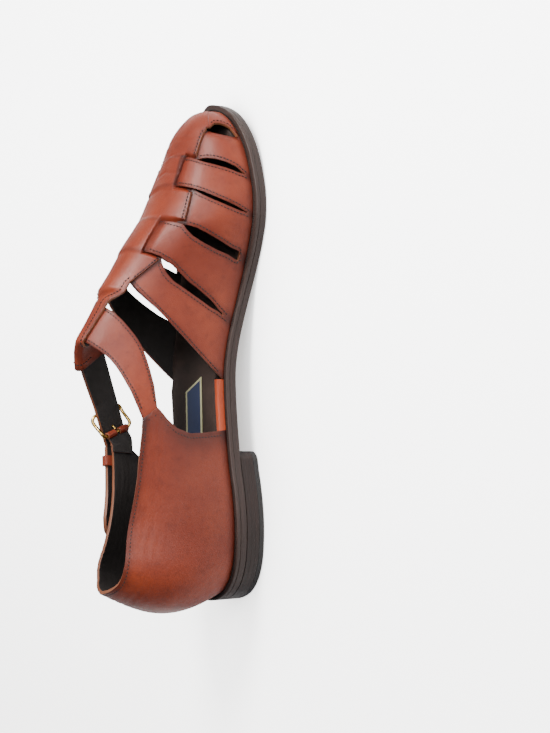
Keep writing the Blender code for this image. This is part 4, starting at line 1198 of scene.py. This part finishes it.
def build_panel():
    """Toe piece, middle panel and T-strap as one piece of leather."""
    s = sizes()
    points, shares, first, last = panel_net()
    rows, columns = points.shape[0] - 1, points.shape[1] - 1
    throat = TOE_ROWS + LEVEL_ROWS * len(GAP_ROWS)

    def keep(u, v):
        inside = (u * columns > first) & (u * columns < last)
        return inside | (v * rows < TOE_ROWS)

    def tone(u, v):
        row, across = v * rows, np.abs(shares[np.round(u * columns).astype(int)])
        level = np.clip(row - TOE_ROWS, 0, throat - TOE_ROWS - 0.1) / LEVEL_ROWS
        over = (level.astype(int) % 2 == 0) | (row > throat - 1)
        edge = smooth(across, 0.86, 1.0) * (across <= 1.001) * (row > TOE_ROWS) * over
        # Painted shade on the side strips where they lie under the fingers and the middle strip.
        weave = smooth(across, 0.46, 0.53) * (row > TOE_ROWS) * ~over
        # Painted shade in the creases at each line of the weave.
        step = 1 - smooth(abs(level - np.round(level)), 0.0, 0.10)
        step = step * (row > TOE_ROWS + 17) * (row < throat - 3)
        toe_hem = smooth(row, TOE_ROWS - 6, TOE_ROWS) * (across > 1)
        hem = (smooth(across, 1.80, 1.98) + toe_hem) * (row <= TOE_ROWS)
        return 0.55 * edge + 0.7 * weave + 0.35 * step + 0.5 * hem

    leather_piece(net_piece("toe_and_panel", points, keep, tone), s.leather, 0.0004, ["vamp"])
    threads = []
    inset = 1 - s.stitch_inset / (PANEL_WIDTH / 2)
    for level in (0, 2, 4):
        low = TOE_ROWS + LEVEL_ROWS * level
        for sign in (-1, 1):
            threads.append(grid_thread(points, shares, sign * inset, low + 1, low + LEVEL_ROWS - 1))
    for sign in (-1, 1):
        threads.append(grid_thread(points, shares, sign * 0.82, throat - 3, rows - 8))
    for low, high in ((-1.93, -1.02), (1.02, 1.93)):
        threads.append(cross_thread(points, shares, TOE_ROWS - 4, low, high))
    sew("stitches_panel", threads)


def grid_facing(points):
    """The way that each point of a bent grid faces."""
    facing = np.cross(np.gradient(points, axis=1), np.gradient(points, axis=0))
    size = np.linalg.norm(facing, axis=-1, keepdims=True)
    return facing / np.maximum(size, 1e-12)


def grid_thread(points, shares, share, low, high):
    """A row of stitches along a bent grid, at one share across it."""
    column_at = int(np.argmin(abs(shares - share)))
    facing = grid_facing(points)[low:high, column_at]
    return points[low:high, column_at] + facing * sizes().thread * 0.4, facing


def cross_thread(points, shares, row, low, high):
    """A row of stitches across a bent grid, along one of its rows."""
    kept = (shares >= low) & (shares <= high)
    facing = grid_facing(points)[row, kept]
    return points[row, kept] + facing * sizes().thread * 0.4, facing


def flank_height(x, side, across, t, finger):
    """How far a finger stands off the vamp's surface. Odd fingers run over the panel's
    side strips, even ones end at its edge."""
    s = sizes()
    dome = s.cushion * (1 - (2 * t - 1) ** 4) - 0.0002
    dome = dome * (1 - smooth(np.clip(across - 1, 0, 1), 0.75, 0.95))
    if finger % 2 == 0:
        return dome - 0.0005 * (1 - smooth(across, 0.88, 1.0))
    rise = s.raise_by * (1 - smooth(across, 0.98, 1.50))
    inner = b_half(x, side)
    tuck = 1 - smooth(across, inner - 0.02, inner + 0.26)
    lip = 0.0002 * (1 - smooth(across, 1.1, 1.5)) * (1 - tuck)
    return dome * (1 - 0.5 * tuck) + rise * (1 - 0.85 * tuck) + lip


def flank_net(side):
    """A woven side as a net, the share across the vamp of its columns, and each row's
    finger, share across that finger and whether it only laps under the toe piece."""
    across = np.concatenate([
        np.linspace(0.42, 0.98, 22), np.linspace(1.0, 1.10, 9)[:-1],
        np.linspace(1.10, 1.85, 46)[:-1], np.linspace(1.85, 1.93, 9)[:-1], np.linspace(1.93, 2.0, 5),
    ])
    lines = [*GAP_ROWS, THROAT]
    rows = [line_x(lines[0], across, -1) + step for step in np.linspace(0.0035, 0.0, 4)]
    kinds = [(0, 0.0, True)] * len(rows)
    for finger in range(len(GAP_ROWS)):
        rear, front = line_x(lines[finger], across, 1), line_x(lines[finger + 1], across, -1)
        for t in (1 - np.cos(np.linspace(0, math.pi, 17))) / 2:
            rows.append(rear + (front - rear) * t)
            kinds.append((finger, t, False))
    points = np.zeros((len(rows), len(across), 3))
    for row, x, (finger, t, lap) in zip(points, rows, kinds):
        height = flank_height(x, side, across, t, finger)
        if lap:
            height = np.full_like(height, -0.0012)
        elif finger == 0:
            height = height - 0.0010 * (1 - smooth(t, 0.0, 0.12)) * (across > 1.0)
        height = height * (1 - smooth(across, 1.92, 2.0))
        row[:] = VAMP.bare(x, side, across) + VAMP.facing(x, side, across) * height[:, None]
    fingers, shares, laps = (np.array(values) for values in zip(*kinds))
    return points, across, fingers, shares, laps


def flank_threads(side):
    """Rows of stitches along both edges of each finger, but for the toe gap's edge."""
    s = sizes()
    found = []
    lines = [*GAP_ROWS, THROAT]
    for finger, (rear, front) in enumerate(zip(lines, lines[1:])):
        for line, edge in ((rear, 1), (front, -1)):
            if line is GAP_ROWS[0]:
                continue
            low = 0.60 if finger % 2 else 1.0 if line is THROAT else 1.02
            steps = np.linspace(low, 1.97, 60)
            x = line_x(line, steps, edge) - s.stitch_inset * edge
            wide = line_x(rear, steps, 1) - line_x(front, steps, -1)
            t = np.full_like(steps, s.stitch_inset / np.maximum(wide, 0.004).mean())
            height = flank_height(x, side, steps, t if edge == 1 else 1 - t, finger)
            facing = VAMP.facing(x, side, steps)
            path = VAMP.bare(x, side, steps) + facing * (height + s.thread * 0.35)[:, None]
            found.append((path, facing))
    return found


def build_flank(name, side):
    """One woven side of the vamp, with a gap between each pair of fingers."""
    points, across, fingers, shares, laps = flank_net(side)
    last_row, last_column = len(points) - 1, len(across) - 1
    breaks = (fingers[1:] != fingers[:-1]) | (laps[1:] != laps[:-1])

    def keep(u, v):
        i, j = (v * last_row).astype(int), (u * last_column).astype(int)
        at = (across[j] + across[j + 1]) / 2
        gap = breaks[i] & (at < 1 + GAP_TO)
        under_panel = (fingers[i + 1] % 2 == 0) & (at < 0.86)
        return ~gap & ~under_panel & ~(laps[i] & (at < 1 + GAP_TO + 0.01))

    def tone(u, v):
        i, j = np.round(v * last_row).astype(int), np.round(u * last_column).astype(int)
        at, t, even = across[j], shares[i], fingers[i] % 2 == 0
        edge = 1 - smooth(np.minimum(t, 1 - t), 0.0, 0.20)
        # Painted shade where even fingers run under the panel and where odd fingers tuck under the middle
        # strip.
        under = (1 - smooth(at, 1.0, 1.10)) * even
        tuck = (1 - smooth(at, 0.50, 0.74)) * ~even
        return 0.45 * edge + 0.75 * under + 0.55 * tuck + 0.45 * smooth(at, 1.85, 2.0)

    piece = net_piece(f"vamp_side_{name}", points, keep, tone)
    leather_piece(piece, sizes().leather, 0.00035, ["vamp"], flip=side < 0)
    sew(f"stitches_{name}", flank_threads(side))


def build_flanks():
    """Both woven sides of the vamp."""
    for name, side in (("medial", -1), ("lateral", 1)):
        build_flank(name, side)


def cup_thread(items):
    """A row of stitches on the heel cup, through places given as side, share and rise."""
    path = np.array([cup_point(side, t, rise) for side, t, rise in items])
    facing = []
    for side, t, rise in items:
        t = min(max(t, 0.012), 0.99)
        along = cup_point(side, t - 0.01, rise) - cup_point(side, t + 0.01, rise)
        up = cup_point(side, t, rise - 0.02) - cup_point(side, t, rise)
        out = np.cross(along, up) * side
        facing.append(out / np.linalg.norm(out))
    facing = np.array(facing)
    return path + facing * sizes().thread * 0.35, facing


def build_cup():
    """Heel cup with its creases, and the stitches along its top and front edges."""
    s = sizes()
    shares = np.concatenate([np.linspace(1, 0.97, 4), np.linspace(0.955, 0, 58)])
    places = [(-1, t) for t in shares] + [(1, t) for t in shares[::-1][1:]]
    rises = np.linspace(0, 1, 46)
    points = np.array([[cup_point(side, t, rise) for side, t in places] for rise in rises])

    def tone(u, v):
        share = np.array([t for _, t in places])[np.round(u * (len(places) - 1)).astype(int)]
        # Burnished front edges and topline; the leather is also darker towards the bottom and in a band
        # across the waist.
        front = smooth(share, 0.90, 1.0)
        waist = smooth(share, 0.35, 0.70) * (1 - smooth(abs(v - 0.35), 0.1, 0.5))
        return 0.5 * front + 0.6 * smooth(v, 0.90, 1.0) + 0.5 * (1 - smooth(v, 0.0, 0.12)) + 0.28 * waist

    wrinkle = np.sin(rises * 95.0 + 1.5 * np.sin(np.arange(len(places))[:, None] * 0.35)).T
    fade = smooth(rises, 0.62, 0.80) * (1 - smooth(rises, 0.88, 0.96))
    depth = s.crease * 0.30 * (wrinkle * fade[:, None] - 1) * fade[:, None]
    points = points + grid_facing(points) * depth[..., None]
    piece = net_piece("heel_cup_leather", points, tone=tone)
    leather_piece(piece, WALL, 0.00045, ["heel_cup"], flip=True, outer="cup")

    top = 1 - s.stitch_inset / CUP_STITCH_RUN
    back = [(-1, t, top) for t in np.linspace(0.985, 0, 90)]
    threads = [cup_thread(back + [(1, t, top) for t in np.linspace(0, 0.985, 90)[1:]])]
    for side in (-1, 1):
        share = 1 - s.stitch_inset / cup_length(side) / 0.9
        threads.append(cup_thread([(side, share, rise) for rise in np.linspace(0.03, top, 50)]))
    sew("stitches_heel_cup", threads)


def seam_points(share, inside, back):
    """The strap's sewn end, tucked behind the top of the cup's inner front edge."""
    low = FRONT_ROWS[-2].rise
    rise = 0.985 - (share + 1) / 2 * (1.0 - low)
    return cup_point(-1, 1.0 - back, rise, inside)


def strap_grid(shares):
    """The strap's surface: rows along it, shares across it from rear to front edge."""
    rows = []
    for back in (0.030, 0.020, 0.010, 0.0):
        rows.append([seam_points(share, WALL + CLEARANCE, back) for share in shares])
    dome = STRAP_DOME * (1 - shares**4)
    for run in np.linspace(STRAP_FROM, ROUTE_RUN[-1], 150):
        centre, front, outward, width = strap_frame(run)
        tip = min(1.0, 0.30 + 0.70 * math.sqrt(max(0.0, min(1.0, (ROUTE_RUN[-1] - run) / 0.009))))
        rows.append([
            centre + front * width / 2 * t * tip + outward * (STRAP / 2 + d) for t, d in zip(shares, dome)
        ])
    return np.array(rows)


def punch_hole(piece, run):
    """Cuts one of the strap's holes."""
    centre, front, outward, _ = strap_frame(run)
    bpy.ops.mesh.primitive_cylinder_add(vertices=20, radius=HOLE_SIZE / 2, depth=0.008)
    punch = start_piece("punch")
    back = np.cross(outward, front)
    turn = Matrix([[back[i], front[i], outward[i]] for i in range(3)]).to_4x4()
    centre = centre - np.array([HEEL_LENGTH / 2, 0, 0])
    punch.data.transform(Matrix.Translation(Vector(centre)) @ turn)
    cut = piece.modifiers.new("hole", "BOOLEAN")
    cut.object = punch
    cut.solver = "EXACT"
    bpy.context.view_layer.objects.active = piece
    bpy.ops.object.modifier_apply(modifier=cut.name)
    bpy.data.objects.remove(punch)


def strap_thread(edge):
    """The stitches along one edge of the strap, from its seam on the cup to its tip."""
    s = sizes()
    _, _, outward, width = strap_frame(STRAP_FROM)
    share = edge * (1 - s.stitch_inset / (width / 2))
    sewn = seam_points(share, WALL + CLEARANCE, 0.0)
    free = on_strap(STRAP_FROM, share * width / 2, STRAP / 2 + STRAP_DOME * (1 - share**4))
    path = [sewn + (free - sewn) * step + outward * s.thread for step in np.linspace(0.18, 0.96, 14)]
    facing = [outward] * len(path)
    for run in np.linspace(0.005, ROUTE_RUN[-1] - 0.006, 160):
        _, _, outward, width = strap_frame(run)
        share = 1 - s.stitch_inset / (width / 2)
        dome = STRAP_DOME * (1 - share**4)
        path.append(on_strap(run, edge * share * width / 2, STRAP / 2 + dome + s.thread * 0.4))
        facing.append(outward)
    return np.array(path), np.array(facing)


def build_strap():
    """Ankle strap with its punched holes and edge stitches."""
    piece = net_piece("ankle_strap_leather", strap_grid(np.linspace(-1, 1, 17)),
                      tone=lambda u, v: 0.6 * smooth(abs(2 * u - 1), 0.70, 1.0))
    leather_skin(piece, STRAP, 0.0005)
    for number in range(HOLES):
        punch_hole(piece, HOLE_RUN + (number - PRONG_HOLE) * HOLE_PITCH)
    finish_piece(piece, ["ankle_strap"])
    sew("stitches_strap", [strap_thread(edge) for edge in (-1, 1)])


def beside_strap(route):
    """Places a grid by route(a, b): so far along the strap, to its front and out."""
    return lambda u, v: np.array([on_strap(*route(a, b)) for a, b in zip(u, v)])


def frame_loop(reach, half, corner):
    """The buckle frame seen flat: a rectangle with round corners, evenly divided."""
    points = []
    for back, front, start in ((1, 1, 0), (-1, 1, 90), (-1, -1, 180), (1, -1, 270)):
        for step in range(9):
            turn = math.radians(start + 90 * step / 8)
            points.append((back * (reach - corner) + corner * math.cos(turn),
                           front * (half - corner) + corner * math.sin(turn)))
    loop = []
    for a, b in zip(points, points[1:] + points[:1]):
        count = max(int(math.dist(a, b) / 0.0011), 1)
        loop += [(a[0] + (b[0] - a[0]) * k / count, a[1] + (b[1] - a[1]) * k / count) for k in range(count)]
    return loop


def build_buckle():
    """Brass frame and prong, the leather sleeves on the rear bar and the keeper."""
    half = strap_frame(BUCKLE_RUN)[3] / 2 + BUCKLE_SPARE + BUCKLE_WIRE
    reach = BUCKLE_LENGTH / 2
    over = STRAP / 2 + 1.5 * CLEARANCE + BUCKLE_WIRE
    under = -(STRAP / 2 + 3 * CLEARANCE + SLEEVE + BUCKLE_WIRE)
    corner = BUCKLE_LENGTH * 0.22
    path = []
    for along, across in frame_loop(reach, half, corner):
        share = smooth(along, -reach * 0.75, reach * 0.75)
        path.append(on_strap(BUCKLE_RUN + along, across, over + (under - over) * share))
    brass_wire("buckle_frame_brass", path, BUCKLE_WIRE * 1.05, "buckle_frame", closed=True)

    rise = over + BUCKLE_WIRE + 1.5 * CLEARANCE + PRONG_WIRE
    low = STRAP / 2 + 1.5 * CLEARANCE + PRONG_WIRE
    hole, bend = HOLE_RUN - BUCKLE_RUN, HOLE_SIZE / 2
    route = (
        (reach - BUCKLE_WIRE - PRONG_WIRE - CLEARANCE, -low - CLEARANCE), (hole + bend, -low),
        (hole + bend * 0.3, -low * 0.8), (hole, 0.0), (hole - bend * 0.3, low * 0.8),
        (hole - bend, low), (-reach * 0.55, (low + rise) / 2), (-reach * 0.85, rise),
        (-reach - 2 * PRONG_WIRE, rise),
    )
    path = through([on_strap(BUCKLE_RUN + run, 0.0, out) for run, out in route], 5)
    brass_wire("buckle_prong_brass", path, PRONG_WIRE, "buckle_prong")

    gap = PRONG_WIRE + 2 * CLEARANCE
    for name, side in (("upper", -1), ("lower", 1)):
        def round_bar(a, b, side=side):
            size = BUCKLE_WIRE + CLEARANCE + SLEEVE
            front = side * (gap + (half - corner - gap) * b)
            return BUCKLE_RUN + reach + size * math.cos(TAU * a), front, under + size * math.sin(TAU * a)

        sleeve = bend_grid(f"buckle_sleeve_{name}_leather", 28, 8, beside_strap(round_bar))
        leather_piece(sleeve, SLEEVE, 0.00035, [f"buckle_sleeve_{name}"], flip=side < 0)

    start = BUCKLE_RUN + reach + BUCKLE_WIRE
    inside = -(STRAP / 2 + KEEPER + 3.4 * CLEARANCE + WALL)

    def tab(a, b):
        run = start + (CUP_EDGE_RUN + 0.007 - start) * b
        out = under + 0.0007 + (inside - under - 0.0007) * smooth(b, 0.0, 0.55)
        return run, (2 * a - 1) * (half - corner - CLEARANCE), out

    leather_piece(bend_grid("buckle_tab_leather", 16, 24, beside_strap(tab)), 0.0013, 0.0004)

    middle = CUP_EDGE_RUN + KEEPER_AT
    wide = strap_frame(middle)[3] / 2 + 1.5 * CLEARANCE + KEEPER
    deep = STRAP / 2 + 1.2 * CLEARANCE + KEEPER

    def keeper(a, b):
        direction = np.array([math.cos(TAU * a), math.sin(TAU * a)])
        front, out = np.sign(direction) * abs(direction) ** 0.35 * (wide, deep)
        return middle + (b - 0.5) * KEEPER_WIDTH, front, out

    piece = bend_grid("strap_keeper_leather", 56, 8, beside_strap(keeper))
    leather_piece(piece, KEEPER, 0.0004, ["strap_keeper"], flip=True)


# The sole
def strip_plate(name, loop, profile, finish, replaces, heel=False):
    """A plate made of sections across the shoe, for tops and bottoms that curve. A plate
    of the heel ends at its breast, with round corners."""
    low, high, corner = loop[:, 0].min() + 1e-5, loop[:, 0].max() - 1e-5, BREAST_CORNER
    places = low + (high - low) * (1 - np.cos(np.linspace(0, math.pi, 150))) / 2
    if heel:
        high = HEEL_LENGTH
        places = low + (high - low) * (1 - np.cos(np.linspace(0, math.pi / 2, 70)))
        places = np.sort(np.concatenate([places, high - corner * (1 - np.cos(np.linspace(0.02, 1.5, 12)))]))
    rings = []
    for x in places:
        left, right = side_of(loop, -1, x), side_of(loop, 1, x)
        if heel:
            into = max(0.0, min(1.0, (x - high) / corner + 1))
            shift = corner * (1 - math.sqrt(1 - into**2))
            left, right = left + shift, right - shift
        tuck = min(1.0, (right - left) / 0.008)
        side = [(x, left + inset * tuck, height(x)) for inset, height in profile]
        other = [(x, right - inset * tuck, height(x)) for inset, height in profile[::-1]]
        rings.append(side + other)
    piece = net_piece(name, np.array(rings), closed=True)
    close_up(1e-6)
    piece.data.materials.append(FINISHES[finish])
    finish_piece(piece, [replaces], 55)


def rounded(low, high, radius_low, radius_high):
    """Edge profile from under to over with round corners: insets, and heights as
    functions of the place along the shoe."""
    quarter = [math.pi / 2 * step / 4 for step in range(5)]
    under = [(radius_low * (1 - math.sin(t)), lambda x, t=t: low(x) + radius_low * (1 - math.cos(t)))
             for t in quarter]
    side = [(0.0, lambda x, s=s: low(x) + radius_low + (high(x) - low(x) - radius_low - radius_high) * s)
            for s in (0.25, 0.5, 0.75)]
    over = [(radius_high * (1 - math.cos(t)), lambda x, t=t: high(x) - radius_high * (1 - math.sin(t)))
            for t in quarter]
    return under + side + over


def build_sole():
    """Outsole, welt with its stitch ridges, and the stacked heel."""
    def top(x):
        return sole_bottom(x) + OUTSOLE

    strip_plate("outsole_leather", LOOP, rounded(sole_bottom, top, 0.0009, 0.0003),
                "sole", "outsole")
    profile = rounded(lambda x: top(x) + CLEARANCE / 2, lambda x: feather(x) - CLEARANCE, 0.0003, 0.0009)
    strip_plate("welt_leather", LOOP, profile, "welt", "welt")
    path = drawn_in(ledge(LOOP[:, 0]) - 0.0011)
    path = np.column_stack([path, feather(path[:, 0]) - CLEARANCE + 0.0001])
    path = np.vstack([path, path[:1]])
    facing = np.tile([0.0, 0.0, 1.0], (len(path), 1))
    sew("stitches_welt", [(path, facing)], 0.00125, 0.0007, 0.0003, 2.6)
    lift = (HEEL_HEIGHT - TOP_LIFT) / HEEL_LIFTS
    for number in range(HEEL_LIFTS):
        low = TOP_LIFT + number * lift
        profile = rounded(lambda x, low=low: low, lambda x, low=low: low + lift, 0.00006, 0.00006)
        strip_plate(f"heel_lift_{number + 1}_leather", LOOP, profile, "heel",
                    f"heel_lift_{number + 1}", heel=True)
    profile = rounded(lambda x: 0.0, lambda x: TOP_LIFT - 0.00015, 0.0006, 0.00015)
    strip_plate("heel_top_lift_rubber", LOOP, profile, "rubber",
                "heel_top_lift", heel=True)


def open_shank(x, side):
    """One where the waist is open on a side, nought where the upper covers it."""
    rear, front, fade = cup_length(side), THROAT.welt * SHOE_LENGTH, 0.003
    start, end = (rear - fade, front) if side < 0 else (rear + CLEARANCE, front - fade - CLEARANCE)
    return smooth(x, start, start + fade) * (1 - smooth(x, end, end + fade))


def build_insole():
    """Insole, the rolled strip beside it and the bare label place."""
    wall = WALL + 1.5 * CLEARANCE
    x = LOOP[:, 0]
    inner = np.arange(len(LOOP)) < len(LOOP) // 2
    extra = np.where(inner, (ROLL_WIDTH - WALL) * open_shank(x, -1), -wall * open_shank(x, 1))
    loop = drawn_in(ledge(x) + wall + extra)
    profile = rounded(feather, lambda x: feather(x) + INSOLE, 0.0002, 0.0008)
    strip_plate("insole_sheet", loop, profile, "insole", "insole")

    front = THROAT.welt * SHOE_LENGTH - 2 * CLEARANCE
    start = CUP_LENGTH_MEDIAL - 0.0005

    def place_roll(u, v):
        x = start + (front + 0.001 - start) * v
        y = side_of(FEATHER_LOOP, -1, x)
        turn = math.pi * u
        across = y + (ROLL_WIDTH - CLEARANCE) * (1 - np.cos(turn)) / 2
        return np.column_stack([x, across, feather(x) + ROLL_HEIGHT * np.sin(turn) ** 0.7])

    roll = bend_grid("shank_roll_leather", 24, 40, place_roll)
    close_up()
    roll.data.materials.append(FINISHES["roll"])
    finish_piece(roll, ["shank_roll"])

    def place_label(u, v):
        x = LABEL_FROM + (LABEL_LENGTH - LABEL_SKEW * u) * v
        y = LABEL_SIDE + LABEL_WIDTH * u
        return np.column_stack([x, y, feather(x) + INSOLE + 0.0003])

    label = bend_grid("label_place", 40, 80, place_label)
    along, across = read_points(label).T[:2]
    u = (across - LABEL_SIDE) / LABEL_WIDTH
    v = (along + HEEL_LENGTH / 2 - LABEL_FROM) / (LABEL_LENGTH - LABEL_SKEW * u)
    middle_length = LABEL_LENGTH - LABEL_SKEW / 2
    inset = np.minimum(np.minimum(u, 1 - u) * LABEL_WIDTH, np.minimum(v, 1 - v) * middle_length)
    mark_points(label, "border", inset < LABEL_BORDER)
    face_outwards(label)
    give_thickness(label, 0.0003, 0.0, [FINISHES["label"]])
    finish_piece(label)


# Stage
def build_floor():
    """A pale floor that glows, brightly to the camera and faintly to the scene, with a painted light
    gradient along the shoe and a painted contact shadow under the sole.
    """
    bpy.ops.mesh.primitive_plane_add(size=60)
    floor = start_piece("floor")
    made, tree, shader = new_material("Pale floor", 0.8)
    place = here(tree)
    pale = mix(tree, noise(tree, place, 3.0, 2.0), (0.90, 0.90, 0.91, 1), (0.93, 0.93, 0.935, 1))
    tree.links.new(pale, shader.inputs["Base Color"])
    split = node(tree, "ShaderNodeSeparateXYZ")
    tree.links.new(place, split.inputs["Vector"])
    # Painted light: to the camera the floor is brighter towards the toe end than the heel end.
    glow = mix(tree, ramp(tree, split.outputs["X"], -0.25, 0.35), (0.62, 0.61, 0.60, 1), (1.0, 1.0, 1.0, 1))
    # Painted contact shadow: the floor's glow darkens where the sole hides it.
    contact_shadow = node(tree, "ShaderNodeAmbientOcclusion", {"Distance": 0.07}, samples=8)
    shade = ramp(tree, contact_shadow.outputs["AO"], 0.1, 1.0)
    glow = mix(tree, shade, (0.16, 0.155, 0.15, 1), glow)
    seen = node(tree, "ShaderNodeLightPath").outputs["Is Camera Ray"]
    tree.links.new(mix(tree, seen, (0.03, 0.03, 0.03, 1), glow), shader.inputs["Emission Color"])
    shader.inputs["Emission Strength"].default_value = 5.0
    floor.data.materials.append(made)
    floor.data.transform(Matrix.Translation((0, 0, -0.0002)))


def build_stage():
    """Pale floor, soft light and the camera."""
    build_floor()
    world = bpy.data.worlds.new("studio")
    world.use_nodes = True
    sky = world.node_tree
    seen = node(sky, "ShaderNodeLightPath").outputs["Is Camera Ray"]
    bright = mix(sky, seen, (0.28, 0.288, 0.30, 1), (4.2, 4.2, 4.25, 1))
    sky.links.new(bright, sky.nodes["Background"].inputs["Color"])
    bpy.context.scene.world = world
    for name, spot, target, size, power, colour in LIGHTS:
        bpy.ops.object.light_add(type="AREA", location=spot)
        light = bpy.context.active_object
        light.name = name
        light.data.shape = "DISK"
        light.data.size = size
        light.data.energy = power
        light.data.color = colour
        aim = Vector(target) - Vector(spot)
        light.rotation_euler = aim.to_track_quat("-Z", "Y").to_euler()
    bpy.ops.object.camera_add()
    camera = bpy.context.active_object
    camera.name = "camera"
    right, down, ahead = CAMERA_AXES
    rows = [[right[i], -down[i], -ahead[i], CAMERA_SPOT[i]] for i in range(3)] + [[0, 0, 0, 1]]
    camera.matrix_world = Matrix(rows)
    camera.data.sensor_fit = "HORIZONTAL"
    camera.data.sensor_width = 36.0
    camera.data.lens = FOCAL_LENGTH / PICTURE_WIDTH * 36.0
    camera.data.clip_start = 0.01
    bpy.context.scene.camera = camera


# Operators and panel
class SANDAL_OT_stage(bpy.types.Operator):
    """Set out the floor, the lights and the camera"""

    bl_idname = "sandal.stage"
    bl_label = "Stage"

    def execute(self, context):
        build_stage()
        return {"FINISHED"}


class SANDAL_OT_finishes(bpy.types.Operator):
    """Mix the leathers, thread and brass"""

    bl_idname = "sandal.finishes"
    bl_label = "Finishes"

    def execute(self, context):
        make_finishes(context.scene.sandal_colours)
        return {"FINISHED"}


class SANDAL_OT_sole(bpy.types.Operator):
    """Build the outsole, the welt and the stacked heel"""

    bl_idname = "sandal.sole"
    bl_label = "Sole and heel"

    def execute(self, context):
        build_sole()
        return {"FINISHED"}


class SANDAL_OT_insole(bpy.types.Operator):
    """Lay the insole with its rolled strip and label place"""

    bl_idname = "sandal.insole"
    bl_label = "Insole"

    def execute(self, context):
        build_insole()
        return {"FINISHED"}


class SANDAL_OT_panel(bpy.types.Operator):
    """Shape the toe piece, the middle panel and the T-strap"""

    bl_idname = "sandal.panel"
    bl_label = "Toe and panel"

    def execute(self, context):
        build_panel()
        return {"FINISHED"}


class SANDAL_OT_flanks(bpy.types.Operator):
    """Weave the sides of the vamp and sew their edges"""

    bl_idname = "sandal.flanks"
    bl_label = "Woven sides"

    def execute(self, context):
        build_flanks()
        return {"FINISHED"}


class SANDAL_OT_cup(bpy.types.Operator):
    """Mould the heel cup and sew its topline"""

    bl_idname = "sandal.cup"
    bl_label = "Heel cup"

    def execute(self, context):
        build_cup()
        return {"FINISHED"}


class SANDAL_OT_strap(bpy.types.Operator):
    """Lay the ankle strap and punch its holes"""

    bl_idname = "sandal.strap"
    bl_label = "Ankle strap"

    def execute(self, context):
        build_strap()
        return {"FINISHED"}


class SANDAL_OT_buckle(bpy.types.Operator):
    """Bend the brass buckle and fit its sleeves and keeper"""

    bl_idname = "sandal.buckle"
    bl_label = "Buckle"

    def execute(self, context):
        build_buckle()
        return {"FINISHED"}


OPERATORS = (
    SANDAL_OT_stage,
    SANDAL_OT_finishes,
    SANDAL_OT_sole,
    SANDAL_OT_insole,
    SANDAL_OT_panel,
    SANDAL_OT_flanks,
    SANDAL_OT_cup,
    SANDAL_OT_strap,
    SANDAL_OT_buckle,
)


class SANDAL_PT_panel(bpy.types.Panel):
    """Lists the sizes, the colours and the steps that dress the sandal"""

    bl_label = "Fisherman sandal"
    bl_idname = "SANDAL_PT_panel"
    bl_space_type = "VIEW_3D"
    bl_region_type = "UI"
    bl_category = "Sandal"

    def draw(self, context):
        layout = self.layout
        for group in (context.scene.sandal_sizes, context.scene.sandal_colours):
            box = layout.box()
            for name in group.__annotations__:
                box.prop(group, name)
        for operator in OPERATORS:
            layout.operator(operator.bl_idname)


CLASSES = (SandalSizes, SandalColours, *OPERATORS, SANDAL_PT_panel)


def register():
    for item in CLASSES:
        bpy.utils.register_class(item)
    bpy.types.Scene.sandal_sizes = PointerProperty(type=SandalSizes)
    bpy.types.Scene.sandal_colours = PointerProperty(type=SandalColours)


def unregister():
    del bpy.types.Scene.sandal_colours
    del bpy.types.Scene.sandal_sizes
    for item in reversed(CLASSES):
        bpy.utils.unregister_class(item)


def main():
    register()
    bpy.ops.sandal.stage()
    bpy.ops.sandal.finishes()
    bpy.ops.sandal.sole()
    bpy.ops.sandal.insole()
    bpy.ops.sandal.panel()
    bpy.ops.sandal.flanks()
    bpy.ops.sandal.cup()
    bpy.ops.sandal.strap()
    bpy.ops.sandal.buckle()


if __name__ == "__main__":
    main()
